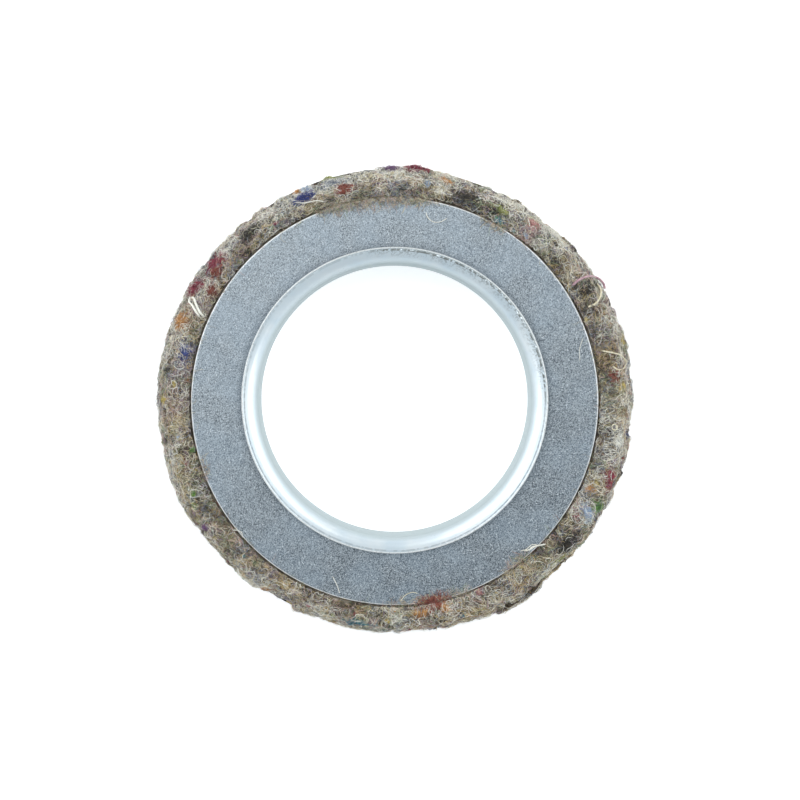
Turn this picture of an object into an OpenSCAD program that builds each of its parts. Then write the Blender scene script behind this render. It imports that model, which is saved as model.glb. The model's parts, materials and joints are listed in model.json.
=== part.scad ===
// Felt wheel clamped in a metal cage. It lies flat, with the flared side up.
// The origin is on the bore axis, where the two felt layers meet. +Z runs out of the flared side.
// A sheet-metal sleeve runs through the bore. Its rear end is a flat flange, and its front end is
// flared over the front plate, so that the two plates pinch the felt between them.

/* [Bore sleeve] */
// Diameter of the bore
bore_d = 86; // [82:0.5:88]
// Thickness of the sleeve's sheet
sleeve_t = 0.8; // [0.6:0.1:1.0]
// Radius of the flare, on the side that shows
flare_r = 4.2; // [3.8:0.1:4.8]
// Angle that the flare turns through, from the bore wall
flare_angle = 75; // [65:1:80]
// Diameter over the flared front lip
lip_d = 96; // [95.5:0.5:98]
// Radius of the rear bend, on the side that shows
rear_bend_r = 1.8; // [1.5:0.1:2.0]
// Diameter of the rear flange
rear_flange_d = 96; // [95:0.5:98]

/* [Side plates] */
// Outer diameter of both plates
plate_d = 128; // [122:1:132]
// Thickness of a plate
plate_t = 1; // [0.8:0.1:1.2]
// Gap from the sleeve to the hole in a plate
plate_gap = 1.2; // [1.1:0.1:1.4]
// Radius of the rolled corner that blanking leaves on a plate's outer edge
plate_roll_r = 0.3; // [0.1:0.1:0.4]

/* [Felt] */
// Outer diameter of the felt
felt_d = 150; // [146:1:154]
// Thickness of one felt layer where the plates pinch it
pinched_h = 8; // [7:0.5:9]
// How far the free rim swells past the pinched thickness
swell_h = 1.4; // [0.8:0.1:1.6]
// Gap from the sleeve to the hole in the felt
felt_gap = 0.5; // [0.5:0.1:0.8]
// Gap from a plate's edge to the swollen rim
rim_gap = 0.6; // [0.4:0.1:1.0]
// Rounding of the rim's outer corner
rim_round_r = 4; // [2:0.5:5]
// Rounding of a layer's edge where it meets the other layer
seam_round_r = 1; // [0.5:0.1:1.5]

/* [Hidden] */
$fn = 180;
arc_steps = 15;

bore_r = bore_d / 2;
sleeve_out_r = bore_r + sleeve_t;
plate_hole_r = sleeve_out_r + plate_gap;
plate_r = plate_d / 2;
felt_hole_r = sleeve_out_r + felt_gap;
felt_r = felt_d / 2;
plate_top_z = pinched_h + plate_t;
free_h = pinched_h + swell_h;
rim_in_r = plate_r + rim_gap;

// The flare's bend turns about (flare_c_r, flare_c_z). It rests on the corner of the front plate's
// hole, with a hair of room, and that sets its height.
contact_room = 0.02;
flare_c_r = bore_r + flare_r;
flare_back_r = flare_r - sleeve_t;
corner_dr = flare_c_r - plate_hole_r;
flare_c_z = plate_top_z - sqrt(pow(flare_back_r + contact_room, 2) - pow(corner_dr, 2)) + 2 * contact_room;

// The straight lip runs on from the end of the flare. The back of its cut edge is at lip_d.
flare_end_r = flare_c_r - flare_r * cos(flare_angle);
lip_len = (lip_d / 2 - sleeve_t * cos(flare_angle) - flare_end_r) / sin(flare_angle);

// The rear bend turns about (rear_c_r, rear_c_z), and the flange lies on the rear plate.
rear_c_r = bore_r + rear_bend_r;
rear_face_z = -plate_top_z - sleeve_t;
rear_c_z = rear_face_z + rear_bend_r;

// Points along an arc about a centre, from one angle to another.
function arc(centre, radius, from_angle, to_angle) = [
    for (i = [0 : arc_steps])
        let (angle = from_angle + (to_angle - from_angle) * i / arc_steps)
            centre + radius * [cos(angle), sin(angle)]
];

// Section of the sleeve. It runs up the side that shows, round the lip's edge and down the back.
module sleeve_section() {
    rear_c = [rear_c_r, rear_c_z];
    flare_c = [flare_c_r, flare_c_z];
    flare_end = 180 - flare_angle;
    across = [cos(flare_end), sin(flare_end)];
    along = [sin(flare_end), -cos(flare_end)];
    flange_r = rear_flange_d / 2;
    polygon(concat(
        [[flange_r, rear_face_z]],
        arc(rear_c, rear_bend_r, 270, 180),
        arc(flare_c, flare_r, 180, flare_end),
        [flare_c + flare_r * across + lip_len * along],
        [flare_c + flare_back_r * across + lip_len * along],
        arc(flare_c, flare_back_r, flare_end, 180),
        arc(rear_c, rear_bend_r - sleeve_t, 180, 270),
        [[flange_r, rear_face_z + sleeve_t]]
    ));
}

module hub_sleeve() {
    color("gainsboro")
        rotate_extrude()
            sleeve_section();
}

// Section of a plate that lies on z = pinched_h, with its outer corner rolled on the upper side.
module plate_section() {
    flat_w = plate_r - plate_hole_r - plate_roll_r;
    translate([plate_hole_r, pinched_h])
        square([flat_w, plate_t]);
    translate([plate_hole_r, pinched_h])
        square([flat_w + plate_roll_r, plate_t - plate_roll_r]);
    translate([plate_r - plate_roll_r, plate_top_z - plate_roll_r])
        circle(plate_roll_r);
}

module side_plate() {
    color("lightslategray")
        rotate_extrude()
            plate_section();
}

module front_side_plate() {
    side_plate();
}

module rear_side_plate() {
    mirror([0, 0, 1])
        side_plate();
}

// Section of one felt layer that lies on z = 0. It is pinched inside the plate's edge, and swells
// outside it into a rounded rim.
module felt_section() {
    translate([felt_hole_r, 0])
        square([rim_in_r - felt_hole_r, pinched_h]);
    translate([rim_in_r, 0])
        square([felt_r - rim_in_r - rim_round_r, free_h]);
    translate([rim_in_r, seam_round_r])
        square([felt_r - rim_in_r, free_h - rim_round_r - seam_round_r]);
    translate([felt_r - rim_round_r, free_h - rim_round_r])
        circle(rim_round_r);
    translate([felt_r - seam_round_r, seam_round_r])
        circle(seam_round_r);
    translate([rim_in_r, 0])
        square([felt_r - rim_in_r - seam_round_r, seam_round_r]);
}

module felt_layer() {
    color("rosybrown")
        rotate_extrude()
            felt_section();
}

module front_felt_layer() {
    felt_layer();
}

module rear_felt_layer() {
    mirror([0, 0, 1])
        felt_layer();
}

hub_sleeve();
front_side_plate();
rear_side_plate();
front_felt_layer();
rear_felt_layer();
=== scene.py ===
"""Looks of a felt polishing wheel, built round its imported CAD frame.

The wheel lies flat with its flared side up. Two thick layers of needled felt, made of mixed reclaimed
fibres, are pinched between two dull zinc side plates, and a bright zinc sleeve through the bore holds
the stack. Everything is in metres, in the frame of the CAD model, with the bore along Z.
"""

import json
import logging
import math
from dataclasses import dataclass, field
from enum import Enum

import bpy
import numpy as np
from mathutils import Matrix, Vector


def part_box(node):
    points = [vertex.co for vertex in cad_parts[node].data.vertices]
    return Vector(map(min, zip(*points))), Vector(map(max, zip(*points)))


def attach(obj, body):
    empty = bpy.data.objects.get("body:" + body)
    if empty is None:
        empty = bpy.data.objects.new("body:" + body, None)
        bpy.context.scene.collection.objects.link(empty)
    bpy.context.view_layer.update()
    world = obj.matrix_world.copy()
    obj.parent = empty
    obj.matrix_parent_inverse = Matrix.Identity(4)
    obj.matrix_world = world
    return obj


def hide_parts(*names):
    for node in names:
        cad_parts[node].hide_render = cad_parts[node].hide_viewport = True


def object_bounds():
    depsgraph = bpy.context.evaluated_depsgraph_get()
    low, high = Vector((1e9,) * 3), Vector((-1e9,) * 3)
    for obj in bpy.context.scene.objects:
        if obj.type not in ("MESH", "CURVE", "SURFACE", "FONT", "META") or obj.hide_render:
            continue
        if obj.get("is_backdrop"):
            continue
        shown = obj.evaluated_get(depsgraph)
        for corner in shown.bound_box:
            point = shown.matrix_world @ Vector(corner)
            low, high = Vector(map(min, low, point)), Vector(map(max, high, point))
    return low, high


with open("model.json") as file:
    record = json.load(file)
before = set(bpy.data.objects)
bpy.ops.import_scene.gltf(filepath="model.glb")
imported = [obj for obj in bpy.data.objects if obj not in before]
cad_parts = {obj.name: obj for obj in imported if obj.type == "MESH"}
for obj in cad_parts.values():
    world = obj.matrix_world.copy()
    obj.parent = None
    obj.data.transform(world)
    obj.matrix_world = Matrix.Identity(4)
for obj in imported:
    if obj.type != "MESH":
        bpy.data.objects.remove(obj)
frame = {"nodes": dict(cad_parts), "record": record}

LOG = logging.getLogger("felt_wheel")
MM = 0.001
FULL_TURN = 2 * math.pi
BODY = "root"
PLATE_PLAY = 0.5 * MM


class Side(Enum):
    """A side of the wheel. The value is the sign of Z on that side."""

    FRONT = 1
    REAR = -1


class Slot(Enum):
    """A material slot of the record."""

    SLEEVE = "bright_zinc"
    PLATE = "dull_zinc"
    FELT = "felt"


# ---------------------------------------------------------------------------------------------
# Random numbers and meshes
# ---------------------------------------------------------------------------------------------


class SmoothNoise:
    """Smooth random numbers in space, the same on every run."""

    CELLS = 32

    def __init__(self, seed: int) -> None:
        """Fills the lattice.

        Args:
            seed: picks the numbers.
        """
        self.values = np.random.default_rng(seed).uniform(-1, 1, (self.CELLS,) * 3)

    def at(self, points: np.ndarray, size: float) -> np.ndarray:
        """Reads the noise at some points.

        Args:
            points: places, one row of three for each.
            size: width of one lattice cell, in the same unit as the points.

        Returns:
            One number from -1 to 1 for each point.
        """
        scaled = points / size
        cell = np.floor(scaled).astype(int)
        part = scaled - cell
        part = part * part * (3 - 2 * part)
        total = np.zeros(len(points))
        for corner in np.ndindex(2, 2, 2):
            weight = np.prod(np.where(corner, part, 1 - part), axis=1)
            x, y, z = ((cell + corner) % self.CELLS).T
            total += weight * self.values[x, y, z]
        return total


def make_piece(name: str, points: np.ndarray, corners: np.ndarray, counts: np.ndarray,
               smooth: bool = True) -> bpy.types.Object:
    """Makes a mesh object from arrays.

    Args:
        name: name of the piece.
        points: its points in metres, one row of three for each.
        corners: the point numbers of all faces, one after another.
        counts: how many corners each face has.
        smooth: whether the faces are shaded smooth.

    Returns:
        The new object, in the scene.
    """
    mesh = bpy.data.meshes.new(name)
    mesh.vertices.add(len(points))
    mesh.vertices.foreach_set("co", np.asarray(points, np.float32).ravel())
    mesh.loops.add(len(corners))
    mesh.loops.foreach_set("vertex_index", np.asarray(corners, np.int32))
    mesh.polygons.add(len(counts))
    starts = np.concatenate([[0], np.cumsum(counts)[:-1]])
    mesh.polygons.foreach_set("loop_start", starts.astype(np.int32))
    mesh.polygons.foreach_set("use_smooth", np.full(len(counts), smooth))
    mesh.update(calc_edges=True)
    mesh.validate()
    made = bpy.data.objects.new(name, mesh)
    bpy.context.scene.collection.objects.link(made)
    return made


def ring_faces(rows: int, columns: int) -> np.ndarray:
    """Faces of a closed tube of rows by columns that closes both ways, as a torus does.

    Args:
        rows: points along the section.
        columns: points round the turn.

    Returns:
        Four point numbers for each face, one face to a row.
    """
    row, column = np.meshgrid(np.arange(rows), np.arange(columns), indexing="ij")
    next_row, next_column = (row + 1) % rows, (column + 1) % columns
    quads = [row * columns + column, next_row * columns + column, next_row * columns + next_column,
             row * columns + next_column]
    return np.stack([q.ravel() for q in quads], axis=1)


def smooth_line(knots: np.ndarray, count: int) -> np.ndarray:
    """A smooth line through a few knots, with its points evenly spread along it.

    Args:
        knots: the points that it passes, one to a row.
        count: how many points the line gets.

    Returns:
        The points, one to a row.
    """
    knots = np.asarray(knots, float)
    padded = np.vstack([2 * knots[0] - knots[1], knots, 2 * knots[-1] - knots[-2]])
    t = np.linspace(0, 1, 24, endpoint=False)[:, None]
    parts = []
    for a, b, c, d in zip(padded, padded[1:], padded[2:], padded[3:]):
        square, cube = 2 * a - 5 * b + 4 * c - d, 3 * b - a - 3 * c + d
        parts.append(0.5 * (2 * b + (c - a) * t + square * t**2 + cube * t**3))
    dense = np.vstack([*parts, knots[-1:]])
    run = np.concatenate([[0], np.cumsum(np.linalg.norm(np.diff(dense, axis=0), axis=1))])
    want = np.linspace(0, run[-1], count)
    return np.stack([np.interp(want, run, dense[:, k]) for k in range(dense.shape[1])], axis=1)


@dataclass(frozen=True)
class Strands:
    """Many thin round strands of equal point count.

    Attributes:
        paths: points, as strands by points by three, in metres.
        ups: a direction across each strand at each point, in the same form.
        radii: the radius at each point, in metres.
    """

    paths: np.ndarray
    ups: np.ndarray
    radii: np.ndarray

    @property
    def triangles(self) -> int:
        """How many triangles the strands come to."""
        strands, steps, _ = self.paths.shape
        return strands * (6 * steps - 4)

    def blocks(self, most: int) -> list["Strands"]:
        """The strands in lots of at most so many triangles."""
        strands, steps, _ = self.paths.shape
        size = max(1, most // (6 * steps - 4))
        starts = range(0, strands, size)
        return [Strands(self.paths[k : k + size], self.ups[k : k + size], self.radii[k : k + size])
                for k in starts]

    def tubes(self, sides: int = 3) -> tuple[np.ndarray, np.ndarray, np.ndarray]:
        """The strands as closed tubes.

        Args:
            sides: sides of a tube.

        Returns:
            Points, the point numbers of all faces, and the corners of each face.
        """
        strands, steps, _ = self.paths.shape
        ahead = np.gradient(self.paths, axis=1)
        ahead /= np.linalg.norm(ahead, axis=2, keepdims=True) + 1e-12
        across = np.cross(ahead, self.ups)
        across /= np.linalg.norm(across, axis=2, keepdims=True) + 1e-12
        over = np.cross(across, ahead)
        turn = np.arange(sides) * FULL_TURN / sides
        spokes = across[:, :, None] * np.cos(turn)[:, None] + over[:, :, None] * np.sin(turn)[:, None]
        points = self.paths[:, :, None] + spokes * self.radii[:, :, None, None]
        first = np.arange(strands)[:, None, None] * steps * sides
        step = np.arange(steps - 1)[None, :, None] * sides
        side = np.arange(sides)[None, None, :]
        near = first + step + side
        beside = first + step + (side + 1) % sides
        walls = np.stack([near, beside, beside + sides, near + sides], axis=-1)
        near_cap = first[:, 0] + side[0][:, ::-1]
        far_cap = first[:, 0] + (steps - 1) * sides + side[0]
        corners = np.concatenate([walls.ravel(), near_cap.ravel(), far_cap.ravel()])
        counts = np.concatenate([np.full(strands * (steps - 1) * sides, 4),
                                 np.full(2 * strands, sides)])
        return points.reshape(-1, 3), corners, counts

    @staticmethod
    def merged(group: list["Strands"], name: str) -> bpy.types.Object:
        """Makes several lots of strands into one piece.

        Args:
            group: the lots.
            name: name of the piece.

        Returns:
            The new piece.
        """
        points, corners, counts, start = [], [], [], 0
        for strands in group:
            new_points, new_corners, new_counts = strands.tubes()
            points.append(new_points)
            corners.append(new_corners + start)
            counts.append(new_counts)
            start += len(new_points)
        return make_piece(name, np.concatenate(points), np.concatenate(corners), np.concatenate(counts))


# ---------------------------------------------------------------------------------------------
# Finishes
# ---------------------------------------------------------------------------------------------

Colour = tuple[float, float, float]


class Shader:
    """A material's node tree, with short calls for the nodes that the finishes share."""

    def __init__(self, name: str) -> None:
        """Starts a material with one Principled shader.

        Args:
            name: name of the material.
        """
        self.material = bpy.data.materials.new(name)
        self.material.use_nodes = True
        self.nodes = self.material.node_tree.nodes
        self.links = self.material.node_tree.links
        self.surface = self.nodes["Principled BSDF"]
        self.place = self.nodes.new("ShaderNodeTexCoord").outputs["Object"]

    def feed(self, socket: bpy.types.NodeSocket, value: object) -> None:
        """Links a socket to another, or sets it to a plain value."""
        if isinstance(value, bpy.types.NodeSocket):
            self.links.new(value, socket)
        elif isinstance(value, tuple) and len(value) == 3 and socket.type == "RGBA":
            socket.default_value = (*value, 1.0)
        else:
            socket.default_value = value

    def set(self, **values: object) -> None:
        """Feeds inputs of the Principled shader, with _ for a space in their names."""
        for key, value in values.items():
            self.feed(self.surface.inputs[key.replace("_", " ")], value)

    def stretched(self, scale: tuple[float, float, float], turn: float = 0.0) -> bpy.types.NodeSocket:
        """The object's coordinates, turned about Z and then scaled.

        Args:
            scale: factor along each axis.
            turn: angle in radians.

        Returns:
            The vector socket.
        """
        turned = self.nodes.new("ShaderNodeMapping")
        self.feed(turned.inputs["Vector"], self.place)
        turned.inputs["Rotation"].default_value = (0, 0, turn)
        scaled = self.nodes.new("ShaderNodeMapping")
        self.feed(scaled.inputs["Vector"], turned.outputs[0])
        scaled.inputs["Scale"].default_value = scale
        return scaled.outputs[0]

    def height(self) -> bpy.types.NodeSocket:
        """The height of each place, in metres."""
        node = self.nodes.new("ShaderNodeSeparateXYZ")
        self.feed(node.inputs[0], self.place)
        return node.outputs["Z"]

    def noise(self, size: float, detail: float = 2.0, vector: object = None,
              warp: float = 0.0) -> bpy.types.NodeSocket:
        """Cloudy noise.

        Args:
            size: width of its blobs in metres, or 1 for a vector that is scaled already.
            detail: octaves.
            vector: coordinates, or None for the object's own.
            warp: distortion.

        Returns:
            The value socket, about 0 to 1.
        """
        node = self.nodes.new("ShaderNodeTexNoise")
        self.feed(node.inputs["Vector"], vector or self.place)
        node.inputs["Scale"].default_value = 1 / size
        node.inputs["Detail"].default_value = detail
        node.inputs["Distortion"].default_value = warp
        return node.outputs["Fac"]

    def cells(self, size: float, output: str = "Distance") -> bpy.types.NodeSocket:
        """Voronoi cells.

        Args:
            size: width of a cell in metres.
            output: Distance or Color.

        Returns:
            The socket.
        """
        node = self.nodes.new("ShaderNodeTexVoronoi")
        self.feed(node.inputs["Vector"], self.place)
        node.inputs["Scale"].default_value = 1 / size
        return node.outputs[output]

    def reach(self) -> bpy.types.NodeSocket:
        """How far each place is from the bore axis, in metres."""
        node = self.nodes.new("ShaderNodeVectorMath")
        node.operation = "LENGTH"
        self.feed(node.inputs[0], self.stretched((1, 1, 0)))
        return node.outputs["Value"]

    def grey(self, colour: object) -> bpy.types.NodeSocket:
        """The brightness of a colour."""
        node = self.nodes.new("ShaderNodeRGBToBW")
        self.feed(node.inputs[0], colour)
        return node.outputs[0]

    def side_of(
        self, direction: tuple[float, float, float], start: float, end: float,
        to_start: float = 0.0, to_end: float = 1.0
    ) -> bpy.types.NodeSocket:
        """A value that changes along a direction.

        Args:
            direction: the direction, of length 1.
            start: distance along it from the origin where the change starts, in metres.
            end: where the change ends.
            to_start: result at the start.
            to_end: result at the end.

        Returns:
            The value socket.
        """
        node = self.nodes.new("ShaderNodeVectorMath")
        node.operation = "DOT_PRODUCT"
        self.feed(node.inputs[0], self.place)
        node.inputs[1].default_value = direction
        return self.span(node.outputs["Value"], start, end, to_start, to_end)

    def span(self, value: object, low: float, high: float, to_low: float = 0.0,
             to_high: float = 1.0) -> bpy.types.NodeSocket:
        """Maps a value from one range to another, and holds it there.

        Args:
            value: the value.
            low: where the range starts.
            high: where it ends.
            to_low: result at its start.
            to_high: result at its end.

        Returns:
            The value socket.
        """
        node = self.nodes.new("ShaderNodeMapRange")
        for key, number in zip(("Value", "From Min", "From Max", "To Min", "To Max"),
                               (value, low, high, to_low, to_high)):
            self.feed(node.inputs[key], number)
        return node.outputs["Result"]

    def math(self, operation: str, a: object, b: object = 0.0) -> bpy.types.NodeSocket:
        """One step of arithmetic on two values."""
        node = self.nodes.new("ShaderNodeMath")
        node.operation = operation
        self.feed(node.inputs[0], a)
        self.feed(node.inputs[1], b)
        return node.outputs[0]

    def mix(self, factor: object, a: object, b: object) -> bpy.types.NodeSocket:
        """A blend of two colours."""
        node = self.nodes.new("ShaderNodeMix")
        node.data_type = "RGBA"
        self.feed(node.inputs["Factor"], factor)
        self.feed(node.inputs["A"], a)
        self.feed(node.inputs["B"], b)
        return node.outputs["Result"]

    def ramp(self, value: object, stops: list[tuple[float, Colour]]) -> bpy.types.NodeSocket:
        """A run of colours along a value.

        Args:
            value: the value.
            stops: place and colour of each stop.

        Returns:
            The colour socket.
        """
        node = self.nodes.new("ShaderNodeValToRGB")
        self.feed(node.inputs["Fac"], value)
        steps = node.color_ramp.elements
        while len(steps) < len(stops):
            steps.new(1.0)
        for step, (place, colour) in zip(steps, stops):
            step.position = place
            step.color = (*colour, 1.0)
        return node.outputs["Color"]

    def bump(self, height: object, depth: float) -> None:
        """Adds relief to the surface, over any that it has.

        Args:
            height: the height, from 0 to 1.
            depth: how deep 1 is, in metres.
        """
        node = self.nodes.new("ShaderNodeBump")
        node.inputs["Distance"].default_value = depth
        self.feed(node.inputs["Height"], height)
        held = self.surface.inputs["Normal"]
        if held.is_linked:
            self.feed(node.inputs["Normal"], held.links[0].from_socket)
        self.feed(held, node.outputs[0])


@dataclass(frozen=True)
class DullZinc:
    """Galvanised sheet gone dull: a salt-and-pepper grain with hairline scratches and bright specks,
    with painted light on one side and a painted shadow round the lip.

    Attributes:
        dark: colour of its darkest grains, and of the painted shadow round the lip.
        light: colour of its lightest grains.
        speck: colour of the bright specks and the scratches.
        blue: colour of its faint bluish patches.
        grain: size of the soft grain.
        spangle: size of the sharp grain.
        cloud: size of the slow changes.
        bluish: size of the bluish patches.
        painted_light_side: the direction towards which the sheet is painted lighter, as painted light
            from that side.
        fade: how much painted light and painted shade it gets on those two sides.
        patchy: the range of brightness that the slow changes give.
        scratches: turn in radians, length and width in millimetres of each family of scratches.
        painted_lip_shadow: the distances from the bore axis between which the painted shadow round the
            lip fades in.
        painted_lip_shadow_share: how strong that painted shadow is at the -Y side and elsewhere.
    """

    dark: Colour = (0.06, 0.075, 0.09)
    light: Colour = (0.64, 0.69, 0.73)
    speck: Colour = (0.85, 0.88, 0.90)
    blue: Colour = (0.42, 0.52, 0.62)
    grain: float = 0.30 * MM
    spangle: float = 0.21 * MM
    cloud: float = 7 * MM
    bluish: float = 13 * MM
    painted_light_side: tuple[float, float, float] = (-0.42, 0.91, 0.0)
    fade: float = 0.12
    patchy: tuple[float, float] = (0.41, 0.56)
    scratches: tuple[tuple[float, float, float], ...] = (
        (0.5, 14, 0.16),
        (1.9, 18, 0.14),
        (2.7, 10, 0.18),
        (0.1, 22, 0.15),
    )
    painted_lip_shadow: tuple[float, float] = (50.5 * MM, 48.0 * MM)
    painted_lip_shadow_share: tuple[float, float] = (0.06, 0.32)

    def material(self) -> bpy.types.Material:
        """Makes the material."""
        s = Shader("dull_zinc")
        grain = s.noise(self.grain, 1.0)
        spangle = s.grey(s.cells(self.spangle, output="Color"))
        cloud = s.noise(self.cloud, 5.0)
        light = s.math("ADD", s.span(grain, 0.3, 0.7, -0.20, 0.20),
                       s.span(spangle, 0.2, 0.8, -0.38, 0.38))
        # Painted light and shade: the sheet is lighter towards one side (+Y and -X) and darker on the
        # far side.
        light = s.math("ADD", light,
                       s.side_of(self.painted_light_side, -60 * MM, 60 * MM, -self.fade, self.fade))
        light = s.math("ADD", light, s.span(cloud, 0.3, 0.7, *self.patchy))
        base = s.ramp(light, [(0.0, self.dark), (1.0, self.light)])
        base = s.mix(s.span(s.noise(self.bluish, 2.0), 0.42, 0.62, 0.0, 0.18), base, self.blue)
        specks = s.math("MULTIPLY", s.span(s.cells(0.8 * MM), 0.25, 0.15),
                        s.span(s.noise(1.8 * MM), 0.42, 0.54))
        base = s.mix(s.math("MULTIPLY", specks, 0.9), base, self.speck)
        marks = None
        for turn, long, wide in self.scratches:
            along = s.stretched((1 / (long * MM), 1 / (wide * MM), 1), turn)
            streak = s.span(s.noise(1.0, 1.0, along), 0.73, 0.79)
            marks = streak if marks is None else s.math("MAXIMUM", marks, streak)
        base = s.mix(s.math("MULTIPLY", marks, 0.5), base, self.speck)
        # Painted shadow: a dark ring on the plate round the sleeve's lip, weakest towards -Y.
        share = s.side_of((0.0, 1.0, 0.0), -50 * MM, -10 * MM, *self.painted_lip_shadow_share)
        base = s.mix(s.math("MULTIPLY", s.span(s.reach(), *self.painted_lip_shadow), share), base, self.dark)
        rough = s.math("ADD", s.span(spangle, 0.2, 0.8, 0.46, 0.34),
                       s.span(cloud, 0.3, 0.7, 0.05, -0.03))
        s.set(Base_Color=base, Metallic=0.9, Roughness=rough)
        s.bump(grain, 0.01 * MM)
        return s.material


@dataclass(frozen=True)
class BrightZinc:
    """Bright zinc plate: pale and satin, with faint draw marks, small dark pits, grime at the lip, and
    painted shade in the bore, towards the lip and in the groove by its edge.

    Attributes:
        pale: its main colour.
        blue: colour of its bluish patches.
        pit: colour of the small pits.
        wall: colour inside the bore, partly a duller finish and partly painted shade.
        bend: colour of the painted shade on the bend between the bore and the flare.
        shade: colour of the painted shade towards the lip.
        grime: colour of the dirt at the lip, and of the painted shade in the groove inside its edge.
        dull_wall_and_shade_z: the heights between which the wall's duller finish and painted shade fade
            in.
        bend_painted_shade_z: the heights between which the bend's painted shade fades in.
        lip_painted_shade_z: the heights between which the painted shade towards the lip fades in.
        satin_z: the heights between which the bend turns satin.
        dirt_and_shade_way: the direction of the lip's quarter with the most dirt and the darkest
            painted shade in the groove.
        groove: where the painted shade in the groove inside the lip's edge starts, is darkest from and
            to, and ends.
    """

    pale: Colour = (0.87, 0.91, 0.925)
    blue: Colour = (0.755, 0.835, 0.885)
    pit: Colour = (0.42, 0.45, 0.44)
    wall: Colour = (0.46, 0.52, 0.53)
    bend: Colour = (0.65, 0.71, 0.73)
    shade: Colour = (0.50, 0.56, 0.58)
    grime: Colour = (0.16, 0.16, 0.14)
    dull_wall_and_shade_z: tuple[float, float] = (8.9 * MM, 7.3 * MM)
    bend_painted_shade_z: tuple[float, float] = (9.6 * MM, 8.7 * MM)
    lip_painted_shade_z: tuple[float, float] = (9.4 * MM, 10.8 * MM)
    satin_z: tuple[float, float] = (10.4 * MM, 9.5 * MM)
    dirt_and_shade_way: tuple[float, float, float] = (0.64, 0.77, 0.0)
    groove: tuple[float, float, float, float] = (46.75 * MM, 46.95 * MM, 47.3 * MM, 47.5 * MM)

    def material(self) -> bpy.types.Material:
        """Makes the material."""
        s = Shader("bright_zinc")
        cloud = s.noise(7 * MM, 3.0)
        fine = s.noise(0.5 * MM, 2.0)
        base = s.mix(s.span(cloud, 0.35, 0.65), self.pale, self.blue)
        pits = s.math("MULTIPLY", s.span(s.cells(1.7 * MM), 0.10, 0.06),
                      s.span(s.noise(5 * MM), 0.52, 0.6))
        base = s.mix(s.math("MULTIPLY", pits, 0.5), base, self.pit)
        # Painted shade: darker down the bend into the bore and darker still on the wall inside it,
        # where the wall also gets a duller, less metallic finish.
        base = s.mix(s.span(s.height(), *self.bend_painted_shade_z), base, self.bend)
        wall = s.span(s.height(), *self.dull_wall_and_shade_z)
        base = s.mix(wall, base, self.wall)
        # Painted shade: the flare is darker higher up, towards the lip's edge.
        base = s.mix(s.span(s.height(), *self.lip_painted_shade_z, 0.0, 0.36), base, self.shade)
        reach = s.reach()
        quarter = s.side_of(self.dirt_and_shade_way, 28 * MM, 34 * MM)
        lip = s.math("MULTIPLY", s.span(reach, 44.6 * MM, 46.8 * MM), quarter)
        grime = s.math("MULTIPLY", s.span(s.noise(0.9 * MM, 3.0, warp=1.0), 0.50, 0.60), lip)
        base = s.mix(s.math("MULTIPLY", grime, 0.5), base, self.grime)
        # Painted shade: a broken dark line in the groove inside the lip's edge, darkest in the dirtiest
        # quarter.
        start, full, last, end = self.groove
        groove = s.math("MULTIPLY", s.span(reach, start, full), s.span(reach, end, last))
        broken_groove_shade = s.span(s.noise(1.3 * MM, 2.0), 0.44, 0.52)
        strength = s.math("MAXIMUM", s.math("MULTIPLY", quarter, 0.8), 0.22)
        base = s.mix(s.math("MULTIPLY", s.math("MULTIPLY", groove, broken_groove_shade), strength), base, self.grime)
        s.set(Base_Color=base, Metallic=s.span(wall, 0, 1, 0.92, 0.15))
        satin = s.math("ADD", s.span(s.height(), *self.satin_z, 0.0, 0.24),
                       s.span(wall, 0, 1, 0.0, 0.12))
        s.set(Roughness=s.math("ADD", s.span(fine, 0.3, 0.7, 0.31, 0.36), satin))
        s.set(Specular_IOR_Level=0.2)
        s.bump(fine, 0.003 * MM)
        return s.material


@dataclass(frozen=True)
class CutEdge:
    """The sheared edge of a zinc-plated sheet: bright, with a torn grain across its thickness.

    Attributes:
        name: name of the material.
        bright: colour of the clean metal.
        torn: colour of the torn grain.
    """

    name: str
    bright: Colour = (0.98, 0.98, 0.97)
    torn: Colour = (0.70, 0.72, 0.71)

    def material(self) -> bpy.types.Material:
        """Makes the material."""
        s = Shader(self.name)
        grain = s.noise(0.6 * MM, 3.0)
        s.set(Base_Color=s.ramp(grain, [(0.32, self.torn), (0.46, self.bright)]), Metallic=0.3)
        s.set(Roughness=s.span(grain, 0.3, 0.7, 0.45, 0.25))
        s.bump(grain, 0.03 * MM)
        return s.material


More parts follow.
